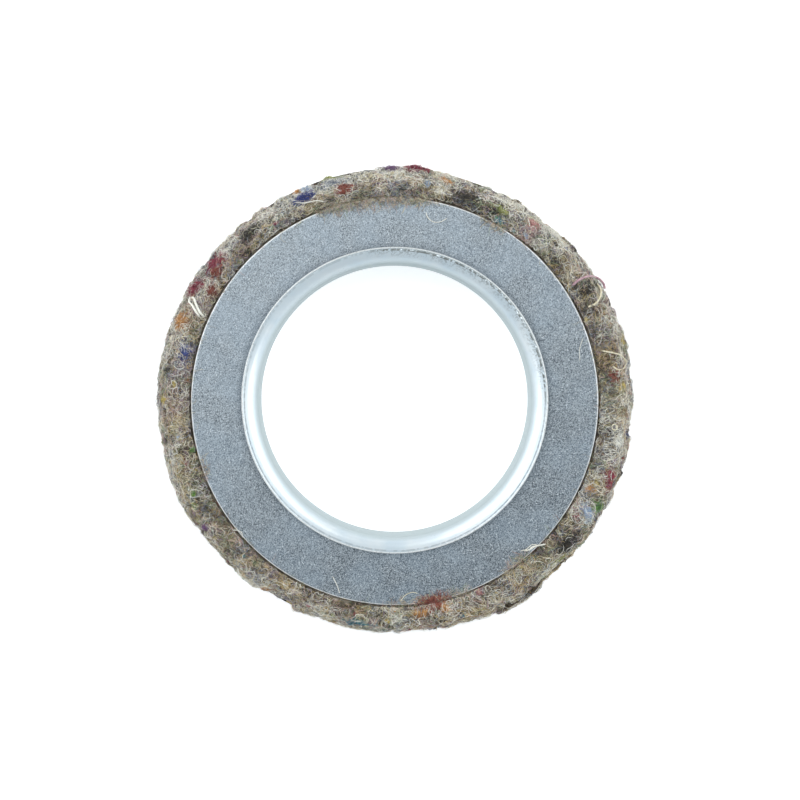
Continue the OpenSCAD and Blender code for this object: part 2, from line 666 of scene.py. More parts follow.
@dataclass(frozen=True)
class NeedledFelt:
    """The matted mass of the felt, seen between its fibres: blotches of reclaimed wool in many browns,
    with painted shade in the gap at the plate's edge.

    Attributes:
        soot: its darkest wool.
        brown: its brown wool.
        stone: its grey-brown wool.
        sand: its palest wool.
        painted_gap_shade: how much darker it is in the gap at the plate's edge.
    """

    soot: Colour = (0.025, 0.021, 0.017)
    brown: Colour = (0.085, 0.066, 0.046)
    stone: Colour = (0.17, 0.145, 0.11)
    sand: Colour = (0.32, 0.28, 0.22)
    # painted_gap_shade: how much painted shade darkens it in the gap at the plate's edge.
    painted_gap_shade: float = 0.3

    def material(self) -> bpy.types.Material:
        """Makes the material."""
        s = Shader("needled_felt")
        blotch = s.noise(2.6 * MM, 4.0, warp=1.2)
        base = s.ramp(blotch,
                      [(0.30, self.soot), (0.42, self.brown), (0.55, self.stone), (0.70, self.sand)])
        for index, (colour, size) in enumerate(FLECKS):
            shifted = s.stretched((1, 1, 1), 0.7 * index + 0.4)
            fleck = s.span(s.noise(size * MM, 1.0, shifted, warp=2.0), 0.72, 0.76)
            base = s.mix(s.math("MULTIPLY", fleck, 0.8), base, colour)
        # Painted shade: the felt is darker in the gap just outside the plate's edge.
        gap = s.span(s.reach(), PLATE_R + 1.3 * MM, PLATE_R + 0.8 * MM, 0.0, self.painted_gap_shade)
        base = s.mix(gap, base, self.soot)
        s.set(Base_Color=base, Roughness=0.95, Specular_IOR_Level=0.15)
        s.bump(s.noise(0.35 * MM, 4.0, warp=1.5), 0.25 * MM)
        return s.material


FLECKS: tuple[tuple[Colour, float], ...] = (
    ((0.35, 0.05, 0.06), 1.3),
    ((0.05, 0.08, 0.25), 1.1),
    ((0.45, 0.24, 0.05), 1.2),
    ((0.10, 0.20, 0.08), 1.0),
    ((0.72, 0.70, 0.64), 1.4),
)


@dataclass(frozen=True)
class Wool:
    """A dyed or undyed wool: two shades that vary along and between its fibres.

    Attributes:
        name: what it is called.
        deep: its darker shade.
        pale: its lighter shade.
    """

    name: str
    deep: Colour
    pale: Colour

    def material(self) -> bpy.types.Material:
        """Makes the material."""
        s = Shader(f"wool_{self.name}")
        shade = s.noise(1.1 * MM, 3.0, warp=0.8)
        s.set(Base_Color=s.ramp(shade, [(0.33, self.deep), (0.67, self.pale)]), Roughness=0.8)
        s.set(Specular_IOR_Level=0.25, Sheen_Weight=0.25, Sheen_Roughness=0.5)
        return s.material


class Tone(Enum):
    """The wools that make up most of the felt: undyed, from dark to light, and five faint colours."""

    SOOT = Wool("soot", (0.018, 0.016, 0.012), (0.085, 0.072, 0.055))
    BROWN = Wool("brown", (0.15, 0.098, 0.055), (0.42, 0.30, 0.18))
    OLIVE = Wool("olive", (0.285, 0.235, 0.11), (0.65, 0.55, 0.31))
    STONE = Wool("stone", (0.49, 0.415, 0.285), (0.86, 0.76, 0.55))
    SAND = Wool("sand", (0.74, 0.65, 0.44), (0.99, 0.93, 0.74))
    CHALK = Wool("chalk", (0.85, 0.81, 0.70), (0.99, 0.97, 0.89))
    SLATE = Wool("slate", (0.12, 0.135, 0.17), (0.38, 0.41, 0.47))
    GOLD = Wool("gold", (0.36, 0.25, 0.10), (0.80, 0.61, 0.31))
    ROSE = Wool("rose", (0.38, 0.23, 0.19), (0.80, 0.58, 0.50))
    MOSS = Wool("moss", (0.15, 0.19, 0.10), (0.46, 0.52, 0.32))
    PLUM = Wool("plum", (0.19, 0.125, 0.165), (0.50, 0.38, 0.43))


FIRST_TINT = list(Tone).index(Tone.SLATE)


class Dye(Enum):
    """The dyed wools, which show as small tufts."""

    CRIMSON = Wool("crimson", (0.16, 0.018, 0.035), (0.44, 0.075, 0.11))
    RUST = Wool("rust", (0.15, 0.035, 0.022), (0.40, 0.13, 0.09))
    ORANGE = Wool("orange", (0.42, 0.18, 0.05), (0.74, 0.42, 0.17))
    YELLOW = Wool("yellow", (0.45, 0.34, 0.08), (0.76, 0.63, 0.24))
    LIME = Wool("lime", (0.20, 0.23, 0.05), (0.48, 0.49, 0.18))
    GREEN = Wool("green", (0.05, 0.16, 0.03), (0.26, 0.45, 0.11))
    TEAL = Wool("teal", (0.03, 0.13, 0.17), (0.13, 0.33, 0.38))
    BLUE = Wool("blue", (0.02, 0.03, 0.13), (0.10, 0.13, 0.38))
    SKY = Wool("sky", (0.27, 0.36, 0.50), (0.56, 0.66, 0.80))
    PURPLE = Wool("purple", (0.11, 0.045, 0.12), (0.30, 0.16, 0.31))
    PINK = Wool("pink", (0.38, 0.15, 0.14), (0.66, 0.36, 0.33))
    MAUVE = Wool("mauve", (0.40, 0.22, 0.26), (0.66, 0.45, 0.48))


# ---------------------------------------------------------------------------------------------
# Sheet metal
# ---------------------------------------------------------------------------------------------


def dress(piece: bpy.types.Object, materials: list[bpy.types.Material],
          node: str = "") -> bpy.types.Object:
    """Gives a piece its materials and its body, and hides the CAD node that it replaces.

    Args:
        piece: the piece.
        materials: its materials, in the order of its faces' material numbers.
        node: the CAD node that it replaces, if any.

    Returns:
        The same piece.
    """
    for material in materials:
        piece.data.materials.append(material)
    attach(piece, BODY)
    if node:
        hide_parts(node)
    LOG.info("%s: %d faces", piece.name, len(piece.data.polygons))
    return piece


@dataclass
class TurnedSheet:
    """A ring of sheet metal with a closed section, turned about the bore axis.

    Attributes:
        name: name of the piece.
        node: the CAD node that it replaces.
        columns: points round the turn.
        seed: picks its small dents.
        play: how far it has slipped off the bore axis, towards -Y.
    """

    name: str
    node: str
    columns: int = 900
    seed: int = 1
    play: float = 0.0

    def section(self) -> tuple[np.ndarray, np.ndarray]:
        """The closed section as (radius, height) rows, and a material number for each row's face."""
        raise NotImplementedError

    def shaped(self, radius: np.ndarray, height: np.ndarray,
               angle: np.ndarray) -> tuple[np.ndarray, np.ndarray]:
        """Adds dents and waves to the turned points, and returns their radius and height."""
        return radius, height

    def build(self, materials: list[bpy.types.Material], slot: Slot) -> bpy.types.Object:
        """Makes the piece.

        Args:
            materials: its materials.
            slot: the record's slot; not used.

        Returns:
            The new piece.
        """
        outline, kinds = self.section()
        angle = np.arange(self.columns) * FULL_TURN / self.columns
        radius, around = np.meshgrid(outline[:, 0], angle, indexing="ij")
        height = np.repeat(outline[:, 1:2], self.columns, axis=1)
        radius, height = self.shaped(radius, height, around)
        points = np.stack([radius * np.cos(around), radius * np.sin(around), height],
                          axis=-1).reshape(-1, 3)
        points[:, 1] -= self.play
        quads = ring_faces(len(outline), self.columns)
        piece = make_piece(self.name, points, quads.ravel(), np.full(len(quads), 4))
        piece.data.polygons.foreach_set("material_index",
                                        np.repeat(kinds, self.columns).astype(np.int32))
        return dress(piece, materials, self.node)


@dataclass
class SidePlate(TurnedSheet):
    """A blanked ring of sheet: one corner of its edge is rolled, and the other is torn and bright.

    Attributes:
        side: which side of the wheel it is on.
        roll: radius of the rolled corner.
        torn: how far the torn part of the cut stands in and out.
        wave: how far the face is out of flat.
        play: how far it has slipped on the sleeve, towards -Y. Its hole is wider by as much.
    """

    side: Side = Side.FRONT
    roll: float = 0.52 * MM
    torn: float = 0.06 * MM
    wave: float = 0.04 * MM
    play: float = PLATE_PLAY

    def section(self) -> tuple[np.ndarray, np.ndarray]:
        """The closed section, and a material number for the face after each row."""
        low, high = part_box(self.node)
        outer = high.x
        near, far = sorted((abs(low.z), abs(high.z)))
        hole = PLATE_HOLE + self.play  # The slipped plate still clears the back of the flare.
        turn = np.radians(np.linspace(90, 0, 6))
        top = np.stack([np.linspace(hole + 0.1 * MM, outer - self.roll, 36), np.full(36, far)], axis=1)
        corner = np.stack([outer - self.roll + self.roll * np.cos(turn),
                           far - self.roll + self.roll * np.sin(turn)], axis=1)
        cut = np.stack([np.full(4, outer), np.linspace(far - self.roll, near, 6)[1:5]], axis=1)
        under = np.stack([np.linspace(outer - 0.05 * MM, hole + 0.1 * MM, 12), np.full(12, near)],
                         axis=1)
        inside = np.array([[hole, near + 0.1 * MM], [hole, far - 0.1 * MM]])
        rows = np.vstack([top, corner[1:], cut, under, inside])
        kinds = np.zeros(len(rows))
        kinds[len(top) : len(top) + len(corner) + len(cut)] = 1
        if self.side is Side.REAR:
            rows[:, 1] *= -1
            rows, kinds = rows[::-1], np.roll(kinds[::-1], -1)
        return rows, kinds

    def shaped(self, radius: np.ndarray, height: np.ndarray,
               angle: np.ndarray) -> tuple[np.ndarray, np.ndarray]:
        """Adds slow waves to the sheet and a ragged line to its cut edge."""
        noise = SmoothNoise(self.seed)
        points = np.stack([radius * np.cos(angle), radius * np.sin(angle), np.zeros_like(radius)],
                          axis=-1).reshape(-1, 3)
        wave = noise.at(points, 17 * MM) + 0.4 * noise.at(points, 6 * MM)
        ragged = noise.at(points, 0.9 * MM).reshape(radius.shape)
        edge = radius > radius.max() - 0.02 * MM
        return radius + np.where(edge, self.torn * ragged,
                                 0), height + self.wave * wave.reshape(radius.shape)


@dataclass
class HubSleeve(TurnedSheet):
    """The sleeve: a wall through the bore, a flat rear flange, and a front end flared over the plate.

    Attributes:
        sheet: thickness of its sheet.
        flare: radius of the flare on the side that shows.
        flare_angle: angle that the flare turns through, in degrees.
        rear_bend: radius of the rear bend on the side that shows.
        burr: height of the burr along the lip's cut edge.
        nick: depth of the tool's nicks beside the lip's edge.
        wear: how far the lip is spread past its drawn size.
    """

    sheet: float = 0.8 * MM
    flare: float = 4.2 * MM
    flare_angle: float = 75.0
    rear_bend: float = 1.8 * MM
    burr: float = 0.16 * MM
    nick: float = 0.3 * MM
    wear: float = 0.12 * MM

    def arc(self, centre: tuple[float, float], radius: float, start: float, end: float,
            count: int) -> np.ndarray:
        """Points along an arc, with its angles in degrees."""
        angle = np.radians(np.linspace(start, end, count))
        return np.stack([centre[0] + radius * np.cos(angle), centre[1] + radius * np.sin(angle)],
                        axis=1)

    def section(self) -> tuple[np.ndarray, np.ndarray]:
        """The closed section, up the side that shows and down the back, and the material numbers."""
        low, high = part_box(self.node)
        end = 180 - self.flare_angle
        across = np.array([math.cos(math.radians(end)), math.sin(math.radians(end))])
        along = np.array([across[1], -across[0]])
        lip_reach = high.x + self.wear - self.sheet * math.cos(math.radians(self.flare_angle))
        centre_r = BORE_R + self.flare
        lip_len = (lip_reach - centre_r - self.flare * across[0]) / along[0]
        centre_z = high.z - self.flare * across[1] - lip_len * along[1]
        flare_c = (centre_r, centre_z)
        rear_c = (BORE_R + self.rear_bend, low.z + self.rear_bend)
        back = self.flare - self.sheet
        lip_start = np.array(flare_c) + self.flare * across
        lip_back = np.array(flare_c) + back * across + lip_len * along
        steps = lip_len - np.array([0.9, 0.75, 0.62, 0.48, 0.36, 0.2, 0.08]) * MM
        rise = np.array([0, -0.25, -0.6, -0.4, 0.3, 1.0, 0.9]) * self.burr
        lip = lip_start + steps[:, None] * along + rise[:, None] * across
        lip_plain = lip_start + np.linspace(0, steps[0], 5)[1:-1, None] * along
        cut = lip_back + np.array([0.92, 0.6, 0.3, 0.06])[:, None] * self.sheet * across
        flange_r = self.flange_radius()
        wall = np.stack([np.full(14, BORE_R), np.linspace(rear_c[1], centre_z, 14)], axis=1)
        flange = np.stack([np.linspace(flange_r, rear_c[0], 8), np.full(8, low.z)], axis=1)
        rows = [flange[:-1], self.arc(rear_c, self.rear_bend, 270, 180, 12)[:-1], wall[:-1]]
        rows += [self.arc(flare_c, self.flare, 180, end, 26), lip_plain, lip, cut,
                 lip_back[None] - 0.04 * MM * along]
        rows += [self.arc(flare_c, back, end, 180, 18),
                 self.arc(rear_c, self.rear_bend - self.sheet, 180, 270, 8)]
        rows += [np.array([[flange_r - 0.05 * MM, low.z + self.sheet],
                           [flange_r, low.z + self.sheet - 0.05 * MM]])]
        outline = np.vstack(rows)
        kinds = np.zeros(len(outline))
        before = sum(len(part) for part in rows[:5])
        kinds[before + 4 : before + len(lip) + len(cut)] = 1
        return outline, kinds

    def flange_radius(self) -> float:
        """Radius of the rear flange, read from the CAD node's lowest points."""
        node = frame["nodes"][self.node]
        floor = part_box(self.node)[0].z
        return max(math.hypot(v.co.x, v.co.y) for v in node.data.vertices if v.co.z < floor + 0.01 * MM)

    def shaped(self, radius: np.ndarray, height: np.ndarray,
               angle: np.ndarray) -> tuple[np.ndarray, np.ndarray]:
        """Adds a ragged burr, tool nicks beside it on one quarter, and a slow wave in the lip."""
        noise = SmoothNoise(self.seed)
        points = np.stack([radius * np.cos(angle), radius * np.sin(angle), height],
                          axis=-1).reshape(-1, 3)
        slow = noise.at(points, 14 * MM).reshape(radius.shape)
        ragged = noise.at(points, 0.9 * MM).reshape(radius.shape)
        reach = np.clip((height - 9 * MM) / (2 * MM), 0, 1)
        near_edge = np.clip((radius - radius.max() + 1.1 * MM) / (0.5 * MM), 0, 1)
        starts = np.clip((angle - math.radians(4)) / 0.1, 0, 1)
        ends = np.clip((math.radians(96) - angle) / 0.1, 0, 1)
        quarter = starts * ends
        jitter = noise.at(points * [1, 1, 0], 2.2 * MM).reshape(radius.shape)
        beat = np.cos(np.degrees(angle) * FULL_TURN / 2.1 + 1.6 * jitter)
        dashes = np.clip(beat * 2 - 0.7 + jitter, 0, 1)
        inner = np.clip((radius.max() - 0.35 * MM - radius) / (0.2 * MM), 0, 1)
        nicks = dashes * quarter * near_edge * inner
        rise = 0.05 * MM * slow + near_edge * 0.05 * MM * ragged - self.nick * nicks
        height = height + reach * rise
        return radius + reach * near_edge * 0.05 * MM * ragged, height


# ---------------------------------------------------------------------------------------------
# Felt
# ---------------------------------------------------------------------------------------------


@dataclass(frozen=True)
class Snip:
    """A straight cut across the felt's rim.

    Attributes:
        angle: direction of its middle, in degrees.
        reach: how far its middle is from the bore axis.
    """

    angle: float
    reach: float


@dataclass(frozen=True)
class Lobe:
    """A stretch of rim that stands out or falls back.

    Attributes:
        start: angle where it starts, in degrees.
        end: angle where it ends.
        rise: how far it stands out, negative for a hollow.
        start_fade: degrees over which it starts.
        end_fade: degrees over which it ends.
    """

    start: float
    end: float
    rise: float
    start_fade: float = 4.0
    end_fade: float = 4.0

    def at(self, angle: np.ndarray) -> np.ndarray:
        """How far the rim stands out at some angles in degrees."""
        width = (self.end - self.start) % 360
        along = (angle - self.start + 180) % 360 - 180
        rise_in = np.clip(along / self.start_fade + 0.5, 0, 1)
        rise_out = np.clip((width - along) / self.end_fade + 0.5, 0, 1)
        ramp = rise_in * rise_out
        return self.rise * ramp * ramp * (3 - 2 * ramp)


def pockets(noise: SmoothNoise, points: np.ndarray) -> np.ndarray:
    """How deep each place lies in a pocket between the felt's lumps, from 0 to 1."""
    hollow = 0.62 * noise.at(points + 0.1, 2.9 * MM) + 0.38 * noise.at(points + 0.2, 1.4 * MM)
    return np.clip((hollow - 0.12) / 0.25, 0, 1)


class RimSurface:
    """The outside of a felt layer as a grid that strands can be laid on.

    Attributes:
        points: grid points, rows across the rim by columns round it.
        normals: outward normals, in the same form.
        step: distance between rows.
        first: how far across the rim the first row is, from the plate's edge.
    """

    def __init__(self, points: np.ndarray, step: float, first: float) -> None:
        """Keeps the grid and works out its normals."""
        self.points, self.step, self.first = points, step, first
        down = np.gradient(points, axis=0)
        round_ = np.roll(points, -1, axis=1) - np.roll(points, 1, axis=1)
        normals = np.cross(down, round_)
        self.normals = normals / (np.linalg.norm(normals, axis=2, keepdims=True) + 1e-12)

    @property
    def width(self) -> float:
        """How far across the rim the last row is."""
        return self.first + (self.points.shape[0] - 1) * self.step

    def across_at(self, turn: float, reach: float) -> float:
        """How far across the rim the surface first comes to some distance from the bore axis.

        Args:
            turn: angle about the axis, in radians.
            reach: distance from the axis.

        Returns:
            The distance from the plate's edge, along the section.
        """
        column = int(turn % FULL_TURN / FULL_TURN * self.points.shape[1])
        away = np.hypot(self.points[:, column, 0], self.points[:, column, 1])
        passed = away >= reach
        row = np.argmax(passed) if passed.any() else np.argmax(away)
        return self.first + row * self.step

    def at(self, turn: np.ndarray, across: np.ndarray) -> tuple[np.ndarray, np.ndarray]:
        """Reads the surface.

        Args:
            turn: angle about the bore axis, in radians.
            across: distance from the plate's edge, along the section.

        Returns:
            Points and normals.
        """
        rows, columns, _ = self.points.shape
        row = np.clip((across - self.first) / self.step, 0, rows - 1.001)
        column = (turn % FULL_TURN) / FULL_TURN * columns
        r0, c0 = row.astype(int), column.astype(int) % columns
        fr, fc = (row - r0)[..., None], (column - np.floor(column))[..., None]
        c1 = (c0 + 1) % columns
        out = []
        for grid in (self.points, self.normals):
            near = grid[r0, c0] * (1 - fc) + grid[r0, c1] * fc
            far = grid[r0 + 1, c0] * (1 - fc) + grid[r0 + 1, c1] * fc
            out.append(near * (1 - fr) + far * fr)
        return out[0], out[1]


@dataclass
class FeltLayer:
    """One layer of the felt: pinched flat under a plate, swollen and rough-cut outside it.

    Attributes:
        node: the CAD node that it replaces.
        side: which side of the wheel it is on.
        seed: picks its bumps.
        snips: straight cuts along the rim.
        lobes: stretches that stand out or fall back.
        taper: how far the face's edge stands in from the rim at the seam.
        inset: how far the rim's mean radius is inside the CAD node's.
        oval: how far the rim is out of round.
        drift: how far the rim's middle is off the bore axis, towards +X and -Y.
        edge_drift: how far the face's edge wanders in and out round the turn.
        columns: points round the turn.
        pitch: distance between points along the section.
    """

    node: str
    side: Side
    seed: int
    snips: tuple[Snip, ...]
    lobes: tuple[Lobe, ...]
    taper: float = 4.2 * MM
    inset: float = 0.62 * MM
    oval: float = 1.0 * MM
    drift: tuple[float, float] = (0.3 * MM, 0.6 * MM)
    edge_drift: float = 0.9 * MM
    columns: int = 1120
    pitch: float = 0.42 * MM

    def outline(self, turn: np.ndarray) -> np.ndarray:
        """The rim's radius at some angles in radians: slightly oval, with its snips and lobes."""
        _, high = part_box(self.node)
        degrees = np.degrees(turn) % 360
        radius = high.x - self.inset + self.oval * np.cos(2 * turn)
        radius = radius + self.drift[0] * np.cos(turn) - self.drift[1] * np.sin(turn)
        for snip in self.snips:
            off = np.radians((degrees - snip.angle + 180) % 360 - 180)
            straight = snip.reach / np.maximum(np.cos(off), 0.2)
            radius = np.where(np.abs(off) < 0.5, np.minimum(radius, straight), radius)
        for lobe in self.lobes:
            radius = radius + lobe.at(degrees)
        return radius

    def section(self) -> np.ndarray:
        """The layer's section, one row to a place.

        Returns:
            Rows of radius, height, how much the row follows the rim's outline, and how much it follows
            the edge of the face.
        """
        low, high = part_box(self.node)
        top = max(abs(low.z), abs(high.z))
        edge = PLATE_R
        rim = high.x
        knots = [
            (edge + 0.25 * MM, PINCH_Z + 0.05 * MM, 0, 0),
            (edge + 0.75 * MM, PINCH_Z + 0.75 * MM, 0, 0),
            (edge + 2.2 * MM, top + 0.05 * MM, 0, 0.2),
            (rim - self.taper - 1.6 * MM, top + 0.05 * MM, 0.7, 0.8),
            (rim - self.taper + 0.2 * MM, top - 1.0 * MM, 0.95, 1.0),
            (rim - self.taper * 0.62, top - 3.2 * MM, 1, 0.75),
            (rim - self.taper * 0.25, top * 0.35, 1, 0.3),
            (rim, 0.9 * MM, 1, 0),
            (rim - 0.7 * MM, 0.12 * MM, 1, 0),
        ]
        length = np.sum(np.linalg.norm(np.diff(np.array(knots)[:, :2], axis=0), axis=1))
        return smooth_line(np.array(knots) * [1, 1, MM, MM], int(length / self.pitch)) / [1, 1, MM, MM]

    def grid(self, rows: np.ndarray, noise: SmoothNoise) -> np.ndarray:
        """The section turned about the bore axis, with its outline and its bumps.

        Args:
            rows: (radius, height, share) rows.
            noise: the bumps.

        Returns:
            Points, rows by columns by three.
        """
        _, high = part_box(self.node)
        turn = np.arange(self.columns) * FULL_TURN / self.columns
        rim = self.outline(turn) - high.x
        pull = self.edge_drift * (0.25 - np.sin(turn - 0.2))
        radius = rows[:, :1] + rows[:, 2:3] * rim + rows[:, 3:4] * pull
        height = np.repeat(rows[:, 1:2], self.columns, axis=1)
        flat = np.stack([radius * np.cos(turn), radius * np.sin(turn), self.side.value * height],
                        axis=-1)
        flat[..., 1] -= PLATE_PLAY * (1 - rows[:, 2:3])
        shape = flat.shape
        points = flat.reshape(-1, 3)
        big = noise.at(points, 5.5 * MM)
        small = noise.at(points, 2.1 * MM)
        fine = noise.at(points, 0.8 * MM)
        lumps = 0.35 * big + 0.35 * small + 0.18 * fine - 1.3 * pockets(noise, points)
        bump = lumps.reshape(shape[:2]) * MM
        free = np.clip(np.arange(len(rows)) / 5, 0.15, 1)[:, None]
        out = RimSurface(flat, self.pitch, 0).normals * self.side.value
        bumped = flat + out * (bump * free)[..., None]
        bumped[..., 2] = np.maximum(bumped[..., 2], REST_Z + 0.05 * MM)
        return bumped

    def build(self, material: bpy.types.Material) -> RimSurface:
        """Makes the layer.

        Args:
            material: the felt's own material.

        Returns:
            Its outside, as a surface for strands.
        """
        noise = SmoothNoise(self.seed)
        rows = self.section()
        outside = self.grid(rows, noise)
        edge, hole = PLATE_R, FELT_HOLE
        seam_z, pinch_z = 0.05 * MM, PINCH_Z - 0.04 * MM
        hidden = [(r, seam_z) for r in np.linspace(rows[-1, 0] - 0.9 * MM, hole, 11)]
        hidden += [(hole, z) for z in np.linspace(seam_z, pinch_z, 4)[1:]]
        hidden += [(r, pinch_z) for r in np.linspace(hole, edge - 0.6 * MM, 9)[1:]]
        turn = np.arange(self.columns) * FULL_TURN / self.columns
        inner = np.array([[(r * math.cos(t), r * math.sin(t), self.side.value * z) for t in turn]
                          for r, z in hidden])
        grid = np.concatenate([outside, inner])
        quads = ring_faces(len(grid), self.columns)
        if self.side is Side.REAR:
            quads = quads[:, ::-1]
        name = self.node.replace("layer", "body")
        piece = make_piece(name, grid.reshape(-1, 3), quads.ravel(), np.full(len(quads), 4))
        dress(piece, [material], self.node)
        return self.strand_surface(outside)

    def strand_surface(self, outside: np.ndarray) -> RimSurface:
        """The outside with rows that lie on the plate, so that strands can stray over its edge."""
        count = 13
        turn = np.arange(self.columns) * FULL_TURN / self.columns
        face_z = PLATE_FACE + 0.02 * MM
        extra = [(PLATE_R + 0.3 * MM - k * self.pitch, face_z) for k in range(count, 0, -1)]
        over = np.array([[(r * math.cos(t), r * math.sin(t), self.side.value * z) for t in turn]
                         for r, z in extra])
        over[..., 1] -= PLATE_PLAY
        surface = RimSurface(np.concatenate([over, outside]), self.pitch, -count * self.pitch)
        if self.side is Side.REAR:
            surface.normals = -surface.normals
        return surface


@dataclass
class Bundle:
    """Strands that are to be laid on the felt, one number for each strand in each array.

    Attributes:
        turn: the angle where each starts, in radians.
        across: how far from the plate's edge each starts.
        heading: its first direction on the surface, in radians, 0 along the rim.
        length: its length.
        bend: how much it turns along its length, in radians.
        lift: how far its middle stands off the surface.
        free: how far its far end stands off.
        radius: its radius.
    """

    turn: np.ndarray
    across: np.ndarray
    heading: np.ndarray
    length: np.ndarray
    bend: np.ndarray
    lift: np.ndarray
    free: np.ndarray
    radius: np.ndarray

    def only(self, chosen: np.ndarray) -> "Bundle":
        """The strands that are chosen."""
        return Bundle(*(getattr(self, key)[chosen] for key in self.__dataclass_fields__))


@dataclass
class StrandLayer:
    """Lays strands on a felt layer's rim and keeps them by wool until they are made into pieces.

    Attributes:
        surface: the rim.
        label: start of the pieces' names.
        seed: picks the strands.
        most: how many triangles a piece may have.
        held: the strands of each wool, by its name.
    """

    surface: RimSurface
    label: str
    seed: int
    most: int = 190_000
    held: dict[str, list[Strands]] = field(default_factory=dict)

    def __post_init__(self) -> None:
        """Starts the random numbers."""
        self.rng = np.random.default_rng(self.seed)

    def lay(self, wool: Wool, bundle: Bundle, steps: int = 6, wander: float = 0.35,
            on_plate: bool = False) -> None:
        """Adds strands that follow the rim.

        Args:
            wool: what they are made of.
            bundle: the strands.
            steps: points of a strand.
            wander: how much a strand turns at random from point to point, in radians.
            on_plate: whether strands may stray over the plate's edge.
        """
        count = len(bundle.turn)
        t = np.linspace(0, 1, steps)
        curl = self.rng.normal(0, wander, (count, steps)).cumsum(axis=1)
        way = bundle.heading[:, None] + bundle.bend[:, None] * t + curl
        hop = (bundle.length / (steps - 1))[:, None]
        u = bundle.turn[:, None] + np.cumsum(np.cos(way) * hop, axis=1) / MID_R
        v = bundle.across[:, None] + np.cumsum(np.sin(way) * hop, axis=1)
        low = self.surface.first if on_plate else EDGE_CLEAR
        v = np.clip(low + np.abs(v - low), low, self.surface.width)
        points, normals = self.surface.at(u, v)
        height = -0.04 * MM + bundle.lift[:, None] * np.sin(np.pi * t) + bundle.free[:, None] * t**2
        height = np.maximum(height, np.where(v < 0.3 * MM, 0.06 * MM, -1))
        paths = points + normals * height[..., None]
        paths[..., 2] = np.maximum(paths[..., 2], REST_Z + 0.06 * MM)
        taper = 1 - 0.55 * np.abs(2 * t - 1) ** 3
        self.keep(wool, Strands(paths, normals, bundle.radius[:, None] * taper))

    def keep(self, wool: Wool, strands: Strands) -> None:
        """Keeps strands until the pieces are made."""
        self.held.setdefault(wool.name, []).append(strands)

    def pieces(self, materials: dict[str, bpy.types.Material]) -> None:
        """Makes the pieces, one or a few for each wool.

        Args:
            materials: the material of each wool.
        """
        for name, parts in self.held.items():
            group: list[Strands] = []
            faces, number = 0, 1
            for part in sorted(parts, key=lambda p: p.paths.shape[1]):
                for block in part.blocks(self.most // 4):
                    if group and faces + block.triangles > self.most:
                        self.piece(name, number, group, materials[name])
                        group, faces, number = [], 0, number + 1
                    group.append(block)
                    faces += block.triangles
            self.piece(name, number, group, materials[name])

    def piece(self, name: str, number: int, group: list[Strands], material: bpy.types.Material) -> None:
        """Makes one piece of several lots of strands."""
        made = Strands.merged(group, f"{self.label}_{name}_fibres_{number}")
        dress(made, [material])


